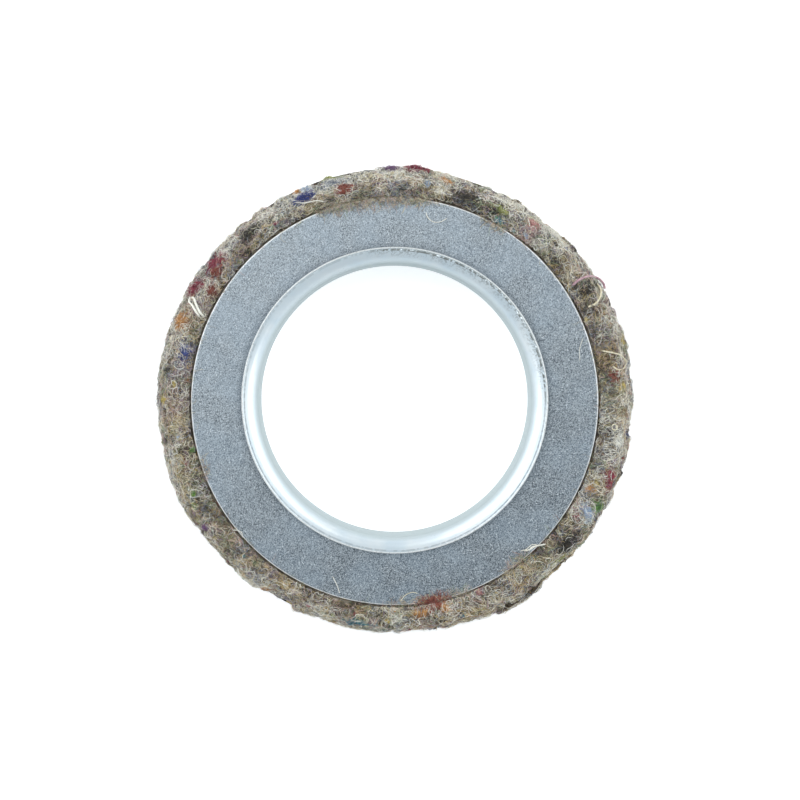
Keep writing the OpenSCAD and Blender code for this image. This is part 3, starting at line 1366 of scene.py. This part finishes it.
@dataclass
class FeltCoat:
    """The fibres on a felt layer: locks of parallel fibres in patches of tone, curls, hairs and fuzz.

    Attributes:
        layer: where the strands go.
        noise: picks the tones.
        relief: the noise that the felt's lumps were made with.
        locks: number of locks.
        fibres: fibres in a lock.
        hairs: number of single loose fibres.
        curls: number of crimped coarse fibres.
        fuzz: number of short fibres that stand up.
        wisps: number of small tufts that stand out from the rim.
        flecks: number of small dyed tufts that are sunk into the rim.
        dark_spots: dark tufts, round which all wool is darker.
        tinted: share of the locks that have a faint colour of their own.
        middle: the tone that most wool has, from 0 for soot to 1 for chalk.
        contrast: how much the patches differ from it.
        cut_side_and_painted_light: how much lighter the rim's cut side is, partly its paler fibres and
            partly painted light, strongest towards +Y.
        tone_spread: how much neighbouring strands differ.
        bounds: the tones at which one undyed wool gives way to the next.
        hues: shift of the noise, size and least noise of the patches of each faint colour.
        fine: radius of a fine fibre.
        coarse: radius of a coarse one.
    """

    layer: StrandLayer
    noise: SmoothNoise
    relief: SmoothNoise
    locks: int = 3300
    fibres: int = 7
    hairs: int = 5200
    curls: int = 7000
    fuzz: int = 6000
    wisps: int = 260
    flecks: int = 95
    dark_spots: tuple["Tuft", ...] = ()
    tinted: float = 0.16
    middle: float = 0.555
    contrast: float = 0.70
    cut_side_and_painted_light: float = 0.46
    tone_spread: float = 0.17
    bounds: tuple[float, ...] = (0.12, 0.30, 0.48, 0.68, 0.90)
    hues: tuple[tuple[float, float, float], ...] = (
        (-0.4, 3.6 * MM, 0.27),
        (0.7, 2.8 * MM, 0.38),
        (-0.9, 2.0 * MM, 0.36),
    )
    fine: float = 0.032 * MM
    coarse: float = 0.055 * MM

    def tones(self, turn: np.ndarray, across: np.ndarray, lighter: float = 0.0) -> np.ndarray:
        """A tone for each place: in patches, with painted shade in the pockets and at the plate's edge,
        painted light towards -Y, and lighter on the rim's cut side, partly as painted light.
        """
        rng = self.layer.rng
        points, _ = self.layer.surface.at(turn, across)
        patch = self.noise.at(points, 4.4 * MM) + 0.9 * self.noise.at(points, 1.7 * MM)
        # The rim's cut side is lighter: partly paler fibres, partly painted light, strongest towards
        # +Y.
        side = np.clip((across - 7.0 * MM) / (2.5 * MM), 0, 1)
        side = side * np.clip(0.6 + 0.6 * np.sin(turn), 0.3, 1)
        value = self.middle + self.contrast * patch * (1 - 0.55 * side) + self.cut_side_and_painted_light * side
        value = value + rng.normal(0, self.tone_spread, len(turn)) + lighter
        # Painted light: wool is lighter towards -Y and darker towards +Y.
        value += 0.10 * (0.1 - np.sin(turn)) * (1 - 0.5 * side)
        # Painted shade: wool is darker in the pockets between the felt's lumps.
        value -= 0.75 * pockets(self.relief, points) * (1 - 0.7 * side)
        # Painted shade: wool is darker in the gap at the plate's edge.
        value -= 0.9 * np.clip((1.5 * MM - across) / (0.8 * MM), 0, 1)
        for spot in self.dark_spots:
            way = math.radians(spot.angle)
            x, y = spot.reach * MM * math.cos(way), spot.reach * MM * math.sin(way)
            width = 0.6 * math.sqrt(spot.size[0] * spot.size[1]) * MM
            away = np.hypot(points[:, 0] - x, points[:, 1] - y) / width
            value -= 0.85 * np.exp(-away**2)
        tone = np.digitize(value, self.bounds)
        odd = self.noise.at(points + 0.3, 2.4 * MM) + rng.normal(0, 0.12, len(turn))
        tone = np.where(odd > 0.52, FIRST_TINT, tone)
        tone = np.where((odd < -0.50) & (side < 0.5), FIRST_TINT + 1, tone)
        undyed = (tone > 0) & (tone < len(self.bounds))
        for index, (shift, size, least) in enumerate(self.hues):
            hue = self.noise.at(points + shift, size) + rng.normal(0, 0.2, len(turn))
            tone = np.where((hue > least) & undyed, FIRST_TINT + 2 + index, tone)
        return tone

    def scatter(self, count: int) -> tuple[np.ndarray, np.ndarray]:
        """Random places on the rim."""
        rng = self.layer.rng
        turn = rng.uniform(0, FULL_TURN, count)
        return turn, rng.uniform(0.3 * MM, self.layer.surface.width - 0.1 * MM, count)

    def lay(self) -> None:
        """Lays all strands."""
        self.lay_locks()
        self.lay_hairs()
        self.lay_curls()
        self.lay_fuzz()
        self.lay_wisps()
        self.lay_flecks()

    def lay_locks(self) -> None:
        """Lays the locks."""
        rng = self.layer.rng
        turn, across = self.scatter(self.locks)
        heading = rng.uniform(0, FULL_TURN, self.locks)
        bend = rng.normal(0, 1.1, self.locks)
        tone = self.tones(turn, across)
        tint = rng.integers(FIRST_TINT, len(Tone), self.locks)
        tone = np.where(rng.random(self.locks) < self.tinted, tint, tone)
        each = np.repeat(np.arange(self.locks), self.fibres)
        count = len(each)
        spread = rng.normal(0, 0.2 * MM, count)
        bundle = Bundle(
            turn=turn[each] - np.sin(heading[each]) * spread / MID_R,
            across=across[each] + np.cos(heading[each]) * spread,
            heading=heading[each] + rng.normal(0, 0.16, count),
            length=rng.uniform(2.5, 6.5, self.locks)[each] * rng.uniform(0.7, 1.1, count) * MM,
            bend=bend[each] + rng.normal(0, 0.3, count),
            lift=rng.uniform(0.0, 0.25, count) * MM,
            free=np.where(rng.random(count) < 0.1, rng.uniform(0.1, 0.5, count), 0) * MM,
            radius=rng.uniform(self.fine, self.coarse, count),
        )
        self.by_tone(tone[each], bundle)

    def lay_hairs(self) -> None:
        """Lays single loose fibres."""
        rng, count = self.layer.rng, self.hairs
        turn, across = self.scatter(count)
        bundle = Bundle(
            turn, across,
            heading=rng.uniform(0, FULL_TURN, count),
            length=rng.uniform(2, 8, count) * MM,
            bend=rng.normal(0, 2.2, count),
            lift=rng.uniform(0.1, 0.5, count) * MM,
            free=np.where(rng.random(count) < 0.3, rng.uniform(0.1, 0.9, count), 0) * MM,
            radius=rng.uniform(self.fine, self.coarse, count),
        )
        self.by_tone(self.tones(turn, across, 0.08), bundle)

    def lay_curls(self) -> None:
        """Lays crimped coarse fibres over the others, most of them pale."""
        rng, count = self.layer.rng, self.curls
        turn, across = self.scatter(count)
        bundle = Bundle(
            turn, across,
            heading=rng.uniform(0, FULL_TURN, count),
            length=rng.uniform(2.5, 7, count) * MM,
            bend=rng.choice((-1, 1), count) * rng.uniform(0.8, 5.5, count),
            lift=rng.uniform(0.15, 0.75, count) * MM,
            free=np.where(rng.random(count) < 0.3, rng.uniform(0.1, 0.7, count), 0) * MM,
            radius=rng.uniform(0.045, 0.088, count) * MM,
        )
        self.by_tone(self.tones(turn, across, 0.3), bundle, steps=9, wander=0.3)

    def lay_fuzz(self) -> None:
        """Lays short fibres that stand up, longest along the rim."""
        rng, count = self.layer.rng, self.fuzz
        turn, across = self.scatter(count)
        rim = np.clip((across - 7 * MM) / (3 * MM), 0, 1)
        bundle = Bundle(
            turn, across,
            heading=rng.uniform(0, FULL_TURN, count),
            length=rng.uniform(0.6, 2.0, count) * MM,
            bend=rng.normal(0, 1.5, count),
            lift=np.zeros(count),
            free=rng.uniform(0.15, 0.6, count) * MM * (1 + 1.2 * rim),
            radius=rng.uniform(self.fine, self.coarse, count),
        )
        self.by_tone(self.tones(turn, across), bundle, steps=4)

    def lay_wisps(self) -> None:
        """Lays small tufts that stand out from the rim."""
        rng, each = self.layer.rng, 14
        width = self.layer.surface.width
        turn = rng.uniform(0, FULL_TURN, self.wisps)
        across = rng.uniform(width - 6.5 * MM, width - 0.3 * MM, self.wisps)
        tone = self.tones(turn, across)
        owner = np.repeat(np.arange(self.wisps), each)
        count = len(owner)
        heading = rng.uniform(0, FULL_TURN, self.wisps)[owner] + rng.normal(0, 0.6, count)
        bundle = Bundle(
            turn=turn[owner] + rng.normal(0, 0.35 * MM, count) / MID_R,
            across=across[owner] + rng.normal(0, 0.35 * MM, count),
            heading=heading,
            length=rng.uniform(0.6, 1.8, count) * MM,
            bend=rng.normal(0, 1.8, count),
            lift=rng.uniform(0.1, 0.6, count) * MM,
            free=(rng.uniform(0.3, 1.3, self.wisps)[owner] * rng.uniform(0.4, 1.0, count)) * MM,
            radius=rng.uniform(0.035, 0.06, count) * MM,
        )
        self.by_tone(tone[owner], bundle, steps=5)

    def lay_flecks(self) -> None:
        """Sinks small dyed tufts into the rim."""
        rng = self.layer.rng
        turn, across = self.scatter(self.flecks)
        dyes = (*Dye, Tone.CHALK, Tone.SOOT, Tone.PLUM, Tone.MOSS)
        for place, way in zip(turn, across):
            size = (rng.uniform(0.8, 2.6), rng.uniform(0.6, 1.4))
            fleck = Tuft(0, 0, dyes[rng.integers(len(dyes))], size, rng.uniform(-30, 30),
                         rng.uniform(0.2, 0.5))
            fleck.lay_at(self.layer, place, max(way, 1.6 * MM))

    def by_tone(self, tone: np.ndarray, bundle: Bundle, steps: int = 6, wander: float = 0.35) -> None:
        """Lays strands of several tones, tone by tone."""
        for index, kind in enumerate(Tone):
            own = tone == index
            if own.any():
                self.layer.lay(kind.value, bundle.only(own), steps, wander)


@dataclass(frozen=True)
class Tuft:
    """A tangled tuft of one wool.

    Attributes:
        angle: where its middle is, in degrees.
        reach: how far its middle is from the bore axis, in millimetres.
        wool: what it is made of.
        size: its length and width in millimetres.
        heading: the way it lies, in degrees, 0 along the rim.
        lift: how far it stands off the felt, in millimetres.
    """

    angle: float
    reach: float
    wool: Tone | Dye
    size: tuple[float, float] = (3.0, 2.0)
    heading: float = 0.0
    lift: float = 0.65

    def lay(self, layer: StrandLayer) -> None:
        """Lays the tuft where its angle and reach say."""
        middle = math.radians(self.angle)
        self.lay_at(layer, middle, layer.surface.across_at(middle, self.reach * MM))

    def lay_at(self, layer: StrandLayer, middle: float, across: float) -> None:
        """Lays the tuft.

        Args:
            layer: where it goes.
            middle: angle of its middle, in radians.
            across: how far its middle is from the plate's edge.
        """
        rng = layer.rng
        count = int(28 * self.size[0] * self.size[1]) + 24
        way = math.radians(self.heading)
        share = np.sqrt(rng.random(count)) * rng.uniform(0.6, 1.45, count)
        spin = rng.uniform(0, FULL_TURN, count)
        x = share * np.cos(spin) * self.size[0] * MM / 2
        y = share * np.sin(spin) * self.size[1] * MM / 2
        length = rng.uniform(0.5, 1.0, count) * max(self.size[1], 0.45 * self.size[0]) * MM
        heading = way + rng.normal(0, 0.5, count) + np.where(rng.random(count) < 0.5, 0, math.pi)
        bundle = Bundle(
            turn=middle + (x * math.cos(way) - y * math.sin(way)) / MID_R,
            across=across + x * math.sin(way) + y * math.cos(way),
            heading=heading,
            length=length,
            bend=rng.normal(0, 2.4, count),
            lift=rng.uniform(0.1, 1.0, count) * self.lift * MM * (1.3 - share),
            free=rng.uniform(0.0, 0.5, count) * self.lift * MM,
            radius=rng.uniform(0.045, 0.08, count) * MM,
        )
        bundle.turn -= np.cos(heading) * length / 2 / MID_R
        bundle.across -= np.sin(heading) * length / 2
        layer.lay(self.wool.value, bundle, steps=7, wander=0.4, on_plate=True)


@dataclass(frozen=True)
class Stray:
    """A stretch of the plate's edge that loose felt has strayed over.

    Attributes:
        start: angle where it starts, in degrees.
        end: angle where it ends.
        reach: how far it comes over the plate, in millimetres.
        count: how many fibres.
    """

    start: float
    end: float
    reach: float
    count: int

    def lay(self, layer: StrandLayer) -> None:
        """Lays the fibres, most of them close to the plate's edge."""
        rng, count = layer.rng, self.count
        share = rng.random(count)
        hump = np.sin(np.pi * share) ** 0.5
        kinds = (Tone.BROWN, Tone.STONE, Tone.STONE, Tone.ROSE, Tone.SLATE, Tone.MOSS)
        bundle = Bundle(
            turn=np.radians(self.start + (self.end - self.start) * share),
            across=(0.5 - (self.reach + 0.5) * rng.random(count) ** 1.6 * hump) * MM,
            heading=rng.uniform(0, FULL_TURN, count),
            length=rng.uniform(1.2, 4.0, count) * MM,
            bend=rng.normal(0, 2.4, count),
            lift=rng.uniform(0.05, 0.5, count) * MM,
            free=np.where(rng.random(count) < 0.3, rng.uniform(0.1, 0.6, count), 0) * MM,
            radius=rng.uniform(0.035, 0.065, count) * MM,
        )
        kind = rng.integers(0, len(kinds), count)
        for index, tone in enumerate(kinds):
            layer.lay(tone.value, bundle.only(kind == index), steps=7, wander=0.4, on_plate=True)


@dataclass(frozen=True)
class Yarn:
    """A thread laid over the wheel through knots that are listed.

    Attributes:
        wool: what it is made of.
        knots: angle in degrees, reach in millimetres and lift in millimetres of each.
        thick: its width in millimetres.
        plies: how many strands it is twisted from.
    """

    wool: Tone | Dye
    knots: tuple[tuple[float, float, float], ...]
    thick: float = 0.3
    plies: int = 2

    def lay(self, layer: StrandLayer) -> None:
        """Lays the thread."""
        knots = []
        for angle, reach, lift in self.knots:
            turn = math.radians(angle)
            ground = PLATE_FACE
            if reach * MM > PLATE_R:
                across = layer.surface.across_at(turn, reach * MM)
                ground = layer.surface.at(np.array([turn]), np.array([across]))[0][0, 2]
            knots.append((reach * MM * math.cos(turn), reach * MM * math.sin(turn),
                          ground + (lift + self.thick / 2) * MM))
        length = np.sum(np.linalg.norm(np.diff(np.array(knots), axis=0), axis=1))
        steps = max(14, int(length / (0.25 * MM)))
        line = smooth_line(np.array(knots), steps)
        up = np.zeros_like(line)
        up[:, 2] = 1
        ahead = np.gradient(line, axis=0)
        ahead /= np.linalg.norm(ahead, axis=1, keepdims=True) + 1e-12
        side = np.cross(ahead, up)
        over = np.cross(side, ahead)
        ply = self.thick * MM / 2 / (1 if self.plies == 1 else 1.8)
        run = np.linspace(0, length, steps)
        for number in range(self.plies):
            phase = run / (1.1 * MM) * FULL_TURN / 1.5 + number * FULL_TURN / self.plies
            away = 0.0 if self.plies == 1 else 0.75 * ply
            path = line + away * (side * np.cos(phase)[:, None] + over * np.sin(phase)[:, None])
            taper = np.clip(np.minimum(run, length - run) / (0.5 * MM), 0.25, 1)
            layer.keep(self.wool.value, Strands(path[None], up[None], ply * taper[None]))


# ---------------------------------------------------------------------------------------------
# Studio
# ---------------------------------------------------------------------------------------------


@dataclass
class Studio:
    """A pale floor, soft lights and a camera that looks almost straight down.

    Attributes:
        height: how far the camera is above the front plate.
        tilt: how far it leans towards +Y, in degrees.
        lean: how far it leans towards -X, in degrees.
        lens: focal length in millimetres.
        offset: how far the view's middle is from the bore axis.
        floor_glow: how bright the floor is by itself.
        sky: colour of the pale surroundings.
        sky_glow: how bright they are.
    """

    height: float = 560 * MM
    tilt: float = 1.6
    lean: float = 0.5
    lens: float = 80.3
    offset: tuple[float, float] = (1.59 * MM, 0.15 * MM)
    floor_glow: float = 0.50
    sky: Colour = (0.88, 0.98, 1.05)
    sky_glow: float = 0.64

    def camera(self) -> bpy.types.Object:
        """Makes the scene's camera."""
        data = bpy.data.cameras.new("camera")
        data.lens = self.lens
        data.sensor_width = 36.0
        made = bpy.data.objects.new("camera", data)
        target = Vector((*self.offset, PLATE_FACE))
        lean, tilt = math.tan(math.radians(self.lean)), math.tan(math.radians(self.tilt))
        back = Vector((-lean, tilt, 1)).normalized()
        made.location = target + back * self.height
        made.rotation_mode = "XYZ"
        made.rotation_euler = (-math.radians(self.tilt), -math.radians(self.lean), 0)
        bpy.context.scene.collection.objects.link(made)
        bpy.context.scene.camera = made
        return made

    def floor(self, height: float) -> bpy.types.Object:
        """Makes the floor: a wide pale sheet that glows a little, as a light table does.

        Args:
            height: its Z.

        Returns:
            The floor.
        """
        half = 3.0
        points = np.array([(-half, -half, height), (half, -half, height), (half, half, height),
                           (-half, half, height)])
        made = make_piece("floor", points, np.arange(4), np.array([4]), smooth=False)
        s = Shader("pale_floor")
        s.set(Base_Color=(0.82, 0.82, 0.82), Roughness=0.9)
        s.set(Emission_Color=(1.0, 1.0, 1.0), Emission_Strength=self.floor_glow)
        made.data.materials.append(s.material)
        made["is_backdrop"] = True
        return made

    def lamp(self, name: str, place: tuple[float, float, float], size: float, glow: float,
             colour: Colour) -> None:
        """Makes a square soft light that faces the wheel.

        Args:
            name: name of the light.
            place: its middle.
            size: its width.
            glow: how bright its face looks, where 1 is white.
            colour: its colour.
        """
        data = bpy.data.lights.new(name, "AREA")
        data.shape = "SQUARE"
        data.size = size
        data.energy = glow * math.pi * size * size
        data.color = colour
        made = bpy.data.objects.new(name, data)
        made.location = place
        made.rotation_mode = "QUATERNION"
        made.rotation_quaternion = Vector(place).to_track_quat("Z", "Y")
        bpy.context.scene.collection.objects.link(made)

    def lights(self) -> None:
        """Makes the lights and the pale surroundings."""
        self.lamp("left_box", (-0.80, 0.44, 0.76), 1.15, 2.1, (1.0, 1.0, 1.0))
        self.lamp("right_box", (0.86, 0.30, 0.72), 1.10, 1.9, (1.0, 1.0, 0.99))
        world = bpy.data.worlds.new("surroundings")
        world.use_nodes = True
        background = world.node_tree.nodes["Background"]
        background.inputs["Color"].default_value = (*self.sky, 1.0)
        background.inputs["Strength"].default_value = self.sky_glow
        bpy.context.scene.world = world
        bpy.context.scene.view_settings.view_transform = "Standard"


# ---------------------------------------------------------------------------------------------
# The wheel
# ---------------------------------------------------------------------------------------------


def mount(name: str) -> dict:
    """A mount of the record by its name."""
    return next(m for m in frame["record"]["mounts"] if m["name"] == name)


def inner_radius(node: str) -> float:
    """The smallest distance from the bore axis to a CAD node's points."""
    return min(math.hypot(v.co.x, v.co.y) for v in frame["nodes"][node].data.vertices)


BORE_R = mount("bore")["dims"]["r_mm"] * MM
REST_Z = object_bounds()[0].z
MID_R = 70 * MM
EDGE_CLEAR = 0.75 * MM
PLATE_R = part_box("front_side_plate")[1].x
PINCH_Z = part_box("front_side_plate")[0].z
PLATE_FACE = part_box("front_side_plate")[1].z
PLATE_HOLE = inner_radius("front_side_plate")
FELT_HOLE = inner_radius("front_felt_layer")

SCOOP = Lobe(235.5, 243.9, -1.5 * MM, 7, 0.7)
FRONT_SNIPS = (Snip(70, 73.5 * MM), Snip(312, 73.7 * MM), Snip(251, 73.5 * MM), Snip(222, 74.4 * MM))
REAR_SNIPS = (Snip(70, 73.9 * MM), Snip(251, 73.8 * MM), Snip(222, 74.6 * MM))
FRONT_LOBES = (SCOOP, Lobe(78, 99, 0.7 * MM, 8, 8), Lobe(197, 207, 0.5 * MM),
               Lobe(281, 295, 0.5 * MM, 6, 1))
REAR_LOBES = (SCOOP, Lobe(295.5, 308, 2.0 * MM, 0.8, 4), Lobe(150, 206, 0.4 * MM))


TUFTS = (
    Tuft(84.5, 74.6, Dye.CRIMSON, (7.0, 1.9), 0, 1.5),
    Tuft(91, 73.6, Dye.PURPLE, (6.0, 1.8), 0, 1.2),
    Tuft(114, 69.3, Dye.BLUE, (7.6, 2.1), -6, 0.9),
    Tuft(115.6, 72.3, Dye.ORANGE, (2.8, 1.7)),
    Tuft(113, 72.2, Dye.SKY, (2.8, 2.4), 90),
    Tuft(106.6, 70.6, Tone.SLATE, (8.5, 2.6)),
    Tuft(103.4, 67.4, Dye.RUST, (5.0, 3.4), 0, 0.9),
    Tuft(106.5, 73.2, Dye.LIME, (3.6, 1.4), 0, 1.0),
    Tuft(142.8, 71.2, Dye.CRIMSON, (5.8, 4.4), 10, 1.0),
    Tuft(144.5, 68.6, Dye.RUST, (3.6, 2.6), 10, 0.9),
    Tuft(150.6, 71.8, Dye.CRIMSON, (5.2, 3.6), -10, 1.0),
    Tuft(148.8, 66.6, Dye.RUST, (3.4, 2.6), 0, 0.9),
    Tuft(159.6, 71.6, Dye.ORANGE, (5.0, 3.8), 0, 0.8),
    Tuft(166.9, 67.3, Dye.BLUE, (6.4, 2.0), 5, 0.6),
    Tuft(172.7, 71.8, Tone.SOOT, (2.4, 2.0)),
    Tuft(179.8, 72.6, Dye.YELLOW, (3.0, 2.0)),
    Tuft(189.3, 73.0, Tone.SOOT, (2.6, 1.8)),
    Tuft(193.5, 65.9, Dye.GREEN, (1.9, 1.3)),
    Tuft(213.4, 72.0, Dye.PURPLE, (3.0, 2.0)),
    Tuft(235.4, 72.0, Dye.ORANGE, (3.2, 1.7)),
    Tuft(242.6, 72.2, Dye.YELLOW, (2.4, 1.4)),
    Tuft(260.3, 71.0, Dye.TEAL, (6.0, 2.0)),
    Tuft(281, 64.9, Dye.RUST, (9.5, 2.2)),
    Tuft(277.4, 67.3, Dye.ORANGE, (5.5, 2.2)),
    Tuft(283.6, 67.0, Dye.ORANGE, (3.0, 1.8)),
    Tuft(273.2, 74.4, Dye.CRIMSON, (3.6, 1.5), 0, 1.2),
    Tuft(320.6, 71.0, Tone.SOOT, (6.4, 4.4), 0, 0.7),
    Tuft(315.9, 72.2, Dye.LIME, (4.8, 3.2)),
    Tuft(332.4, 72.5, Dye.GREEN, (3.2, 3.0)),
    Tuft(329.7, 70.2, Dye.SKY, (6.0, 1.5), -48),
    Tuft(341.2, 71.6, Dye.CRIMSON, (4.4, 3.0), 0),
    Tuft(338.4, 72.8, Dye.CRIMSON, (3.4, 2.6), 0),
    Tuft(335.9, 66.8, Dye.ORANGE, (1.9, 1.9)),
    Tuft(342.1, 75.2, Tone.SOOT, (2.6, 1.6), 0, 0.9),
    Tuft(349.5, 71.6, Tone.CHALK, (3.0, 2.2), 40),
    Tuft(351.5, 73.3, Dye.BLUE, (1.9, 1.4)),
    Tuft(14.3, 74.2, Dye.YELLOW, (2.2, 1.8)),
    Tuft(13.9, 75.9, Tone.SOOT, (1.9, 1.4), 0, 0.9),
    Tuft(6.5, 69.4, Dye.RUST, (4.2, 2.0)),
    Tuft(3.7, 72.0, Dye.YELLOW, (3.0, 1.2)),
    Tuft(60.3, 65.1, Dye.TEAL, (3.6, 1.8)),
    Tuft(60.5, 68.2, Dye.LIME, (3.4, 2.2)),
    Tuft(51.8, 70.1, Dye.PINK, (4.4, 3.0)),
    Tuft(77.5, 66.6, Tone.CHALK, (2.4, 2.2), 60),
    Tuft(81.4, 68.0, Dye.SKY, (3.0, 1.2), 80),
    Tuft(76.8, 70.7, Dye.ORANGE, (4.2, 1.6)),
    Tuft(70.5, 67.6, Tone.SOOT, (7.0, 3.4)),
    Tuft(63.0, 66.4, Tone.SOOT, (4.0, 2.4)),
    Tuft(58.3, 74.6, Tone.SOOT, (2.0, 1.4), 0, 1.0),
    Tuft(43.8, 74.3, Tone.BROWN, (1.8, 1.4), 0, 1.0),
    Tuft(40.0, 74.6, Tone.SOOT, (2.4, 1.8), 0, 1.0),
    Tuft(40.5, 66.6, Tone.SOOT, (5.0, 2.2)),
    Tuft(30.5, 69.4, Tone.SOOT, (4.4, 3.6)),
    Tuft(134.1, 64.8, Tone.SOOT, (1.6, 1.2)),
    Tuft(131.0, 69.4, Tone.SOOT, (7.0, 3.2), 0, 0.9),
)

STRAYS = (
    Stray(0, 360, 0.5, 350),
    Stray(80, 112, 2.3, 1500),
    Stray(57, 64, 1.2, 160),
    Stray(268, 292, 1.3, 320),
    Stray(303, 311, 1.4, 160),
    Stray(196, 203, 0.9, 80),
)

YARNS = (
    Yarn(Dye.MAUVE,
         ((33.0, 66.1, 0.2), (33.3, 69.0, 0.7), (32.6, 72.4, 0.7), (31.2, 75.0, 0.5), (29.4, 75.9, 0.6),
                     (27.8, 75.6, 0.1)), 1.0, 3),
    Yarn(Tone.SAND,
         ((30.0, 73.9, 0.3), (28.3, 73.8, 0.9), (26.9, 72.5, 0.8), (25.8, 70.1, 0.6),
          (25.8, 67.2, 0.3)), 0.85, 3),
    Yarn(Tone.SAND,
         ((13.6, 66.6, 0.2), (12.6, 69.2, 0.7), (11.4, 72.2, 0.7), (9.6, 74.0, 0.4), (8.0, 72.9, 0.5),
                     (7.9, 70.6, 0.6), (9.0, 69.0, 0.3)), 0.6),
    Yarn(Tone.CHALK,
         ((156.2, 65.3, 0.2), (155.6, 66.9, 0.8), (154.1, 69.1, 1.0), (153.1, 70.6, 0.9),
          (153.3, 71.8, 0.8),
                      (154.3, 71.7, 0.9), (154.7, 70.2, 1.0), (155.5, 68.6, 1.0),
                      (156.6, 66.5, 0.6)), 0.95, 3),
    Yarn(Tone.CHALK,
         ((118.8, 70.2, 0.4), (116.7, 69.4, 0.9), (114.5, 67.9, 0.9), (111.3, 67.0, 0.8),
          (109.4, 65.7, 0.4)), 0.4),
    Yarn(Tone.CHALK, ((56.6, 73.0, 0.2), (55.0, 71.6, 0.6), (53.4, 70.4, 0.6), (51.8, 68.4, 0.2)), 0.6),
    Yarn(Tone.SAND,
         ((353.0, 68.4, 0.3), (353.8, 69.0, 0.5), (353.6, 70.0, 0.5), (352.6, 70.2, 0.5),
          (352.3, 69.2, 0.5),
                     (353.0, 68.5, 0.6)), 0.5),
    Yarn(Tone.CHALK,
         ((80.6, 59.8, 0.1), (79.8, 58.2, 0.3), (77.8, 57.2, 0.1), (75.6, 57.8, 0.3),
          (74.0, 59.4, 0.2)), 0.3, 1),
    Yarn(Tone.CHALK,
         ((310.6, 62.4, 0.1), (312.2, 63.2, 0.3), (313.8, 63.6, 0.2), (316.4, 65.4, 0.5)), 0.65),
    Yarn(Tone.CHALK,
         ((309.6, 61.6, 0.1), (311.4, 62.4, 0.3), (313.6, 62.6, 0.2), (314.8, 64.2, 0.5)), 0.3, 1),
    Yarn(Tone.CHALK,
         ((311.4, 63.6, 0.1), (313.0, 63.0, 0.3), (315.0, 64.6, 0.2), (315.4, 66.4, 0.3)), 0.34, 1),
    Yarn(Tone.CHALK,
         ((250.4, 58.6, 0.1), (252.0, 60.2, 0.2), (253.4, 62.0, 0.2), (254.6, 64.6, 0.1)), 0.3, 1),
    Yarn(Tone.CHALK,
         ((218.4, 65.4, 0.3), (219.6, 64.0, 0.2), (221.0, 63.6, 0.2), (222.0, 64.6, 0.3)), 0.3, 1),
    Yarn(Tone.SAND,
         ((271.4, 63.4, 0.2), (273.0, 61.4, 0.2), (275.2, 60.6, 0.1), (276.8, 61.2, 0.2)), 0.28, 1),
    Yarn(Tone.CHALK, ((18.4, 62.2, 0.1), (15.6, 60.2, 0.2), (12.0, 59.3, 0.1)), 0.2, 1),
)


class FeltWheel:
    """The whole wheel."""

    def build(self) -> None:
        """Builds each sub-assembly in order."""
        dull, bright = DullZinc().material(), BrightZinc().material()
        plate_cut = CutEdge("plate_cut_edge").material()
        lip_cut = CutEdge("lip_cut_edge", (0.78, 0.79, 0.78), (0.50, 0.52, 0.51)).material()
        for side, node, seed in ((Side.FRONT, "front_side_plate", 11),
                                 (Side.REAR, "rear_side_plate", 12)):
            SidePlate(node + "_sheet", node, seed=seed, side=side).build([dull, plate_cut], Slot.PLATE)
        sleeve = HubSleeve("hub_sleeve_sheet", "hub_sleeve", columns=880, seed=21)
        sleeve.build([bright, lip_cut], Slot.SLEEVE)
        felt = NeedledFelt().material()
        wools = {kind.value.name: kind.value.material() for kind in (*Tone, *Dye)}
        layers = (
            FeltLayer("front_felt_layer", Side.FRONT, 31, FRONT_SNIPS, FRONT_LOBES),
            FeltLayer("rear_felt_layer", Side.REAR, 32, REAR_SNIPS, REAR_LOBES),
        )
        for layer in layers:
            strands = StrandLayer(layer.build(felt), layer.node.replace("_layer", ""), layer.seed + 100)
            spots = tuple(tuft for tuft in TUFTS
                          if tuft.wool is Tone.SOOT) if layer.side is Side.FRONT else ()
            FeltCoat(strands, SmoothNoise(layer.seed + 200), SmoothNoise(layer.seed),
                     dark_spots=spots).lay()
            if layer.side is Side.FRONT:
                for extra in (*STRAYS, *TUFTS, *YARNS):
                    extra.lay(strands)
            strands.pieces(wools)


def main() -> None:
    """Builds the wheel and its studio."""
    logging.basicConfig(level=logging.INFO, format="%(name)s %(message)s")
    cad_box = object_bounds()
    studio = Studio()
    studio.camera()
    FeltWheel().build()
    studio.floor(cad_box[0].z - 0.1 * MM)
    studio.lights()


if __name__ == "__main__":
    main()
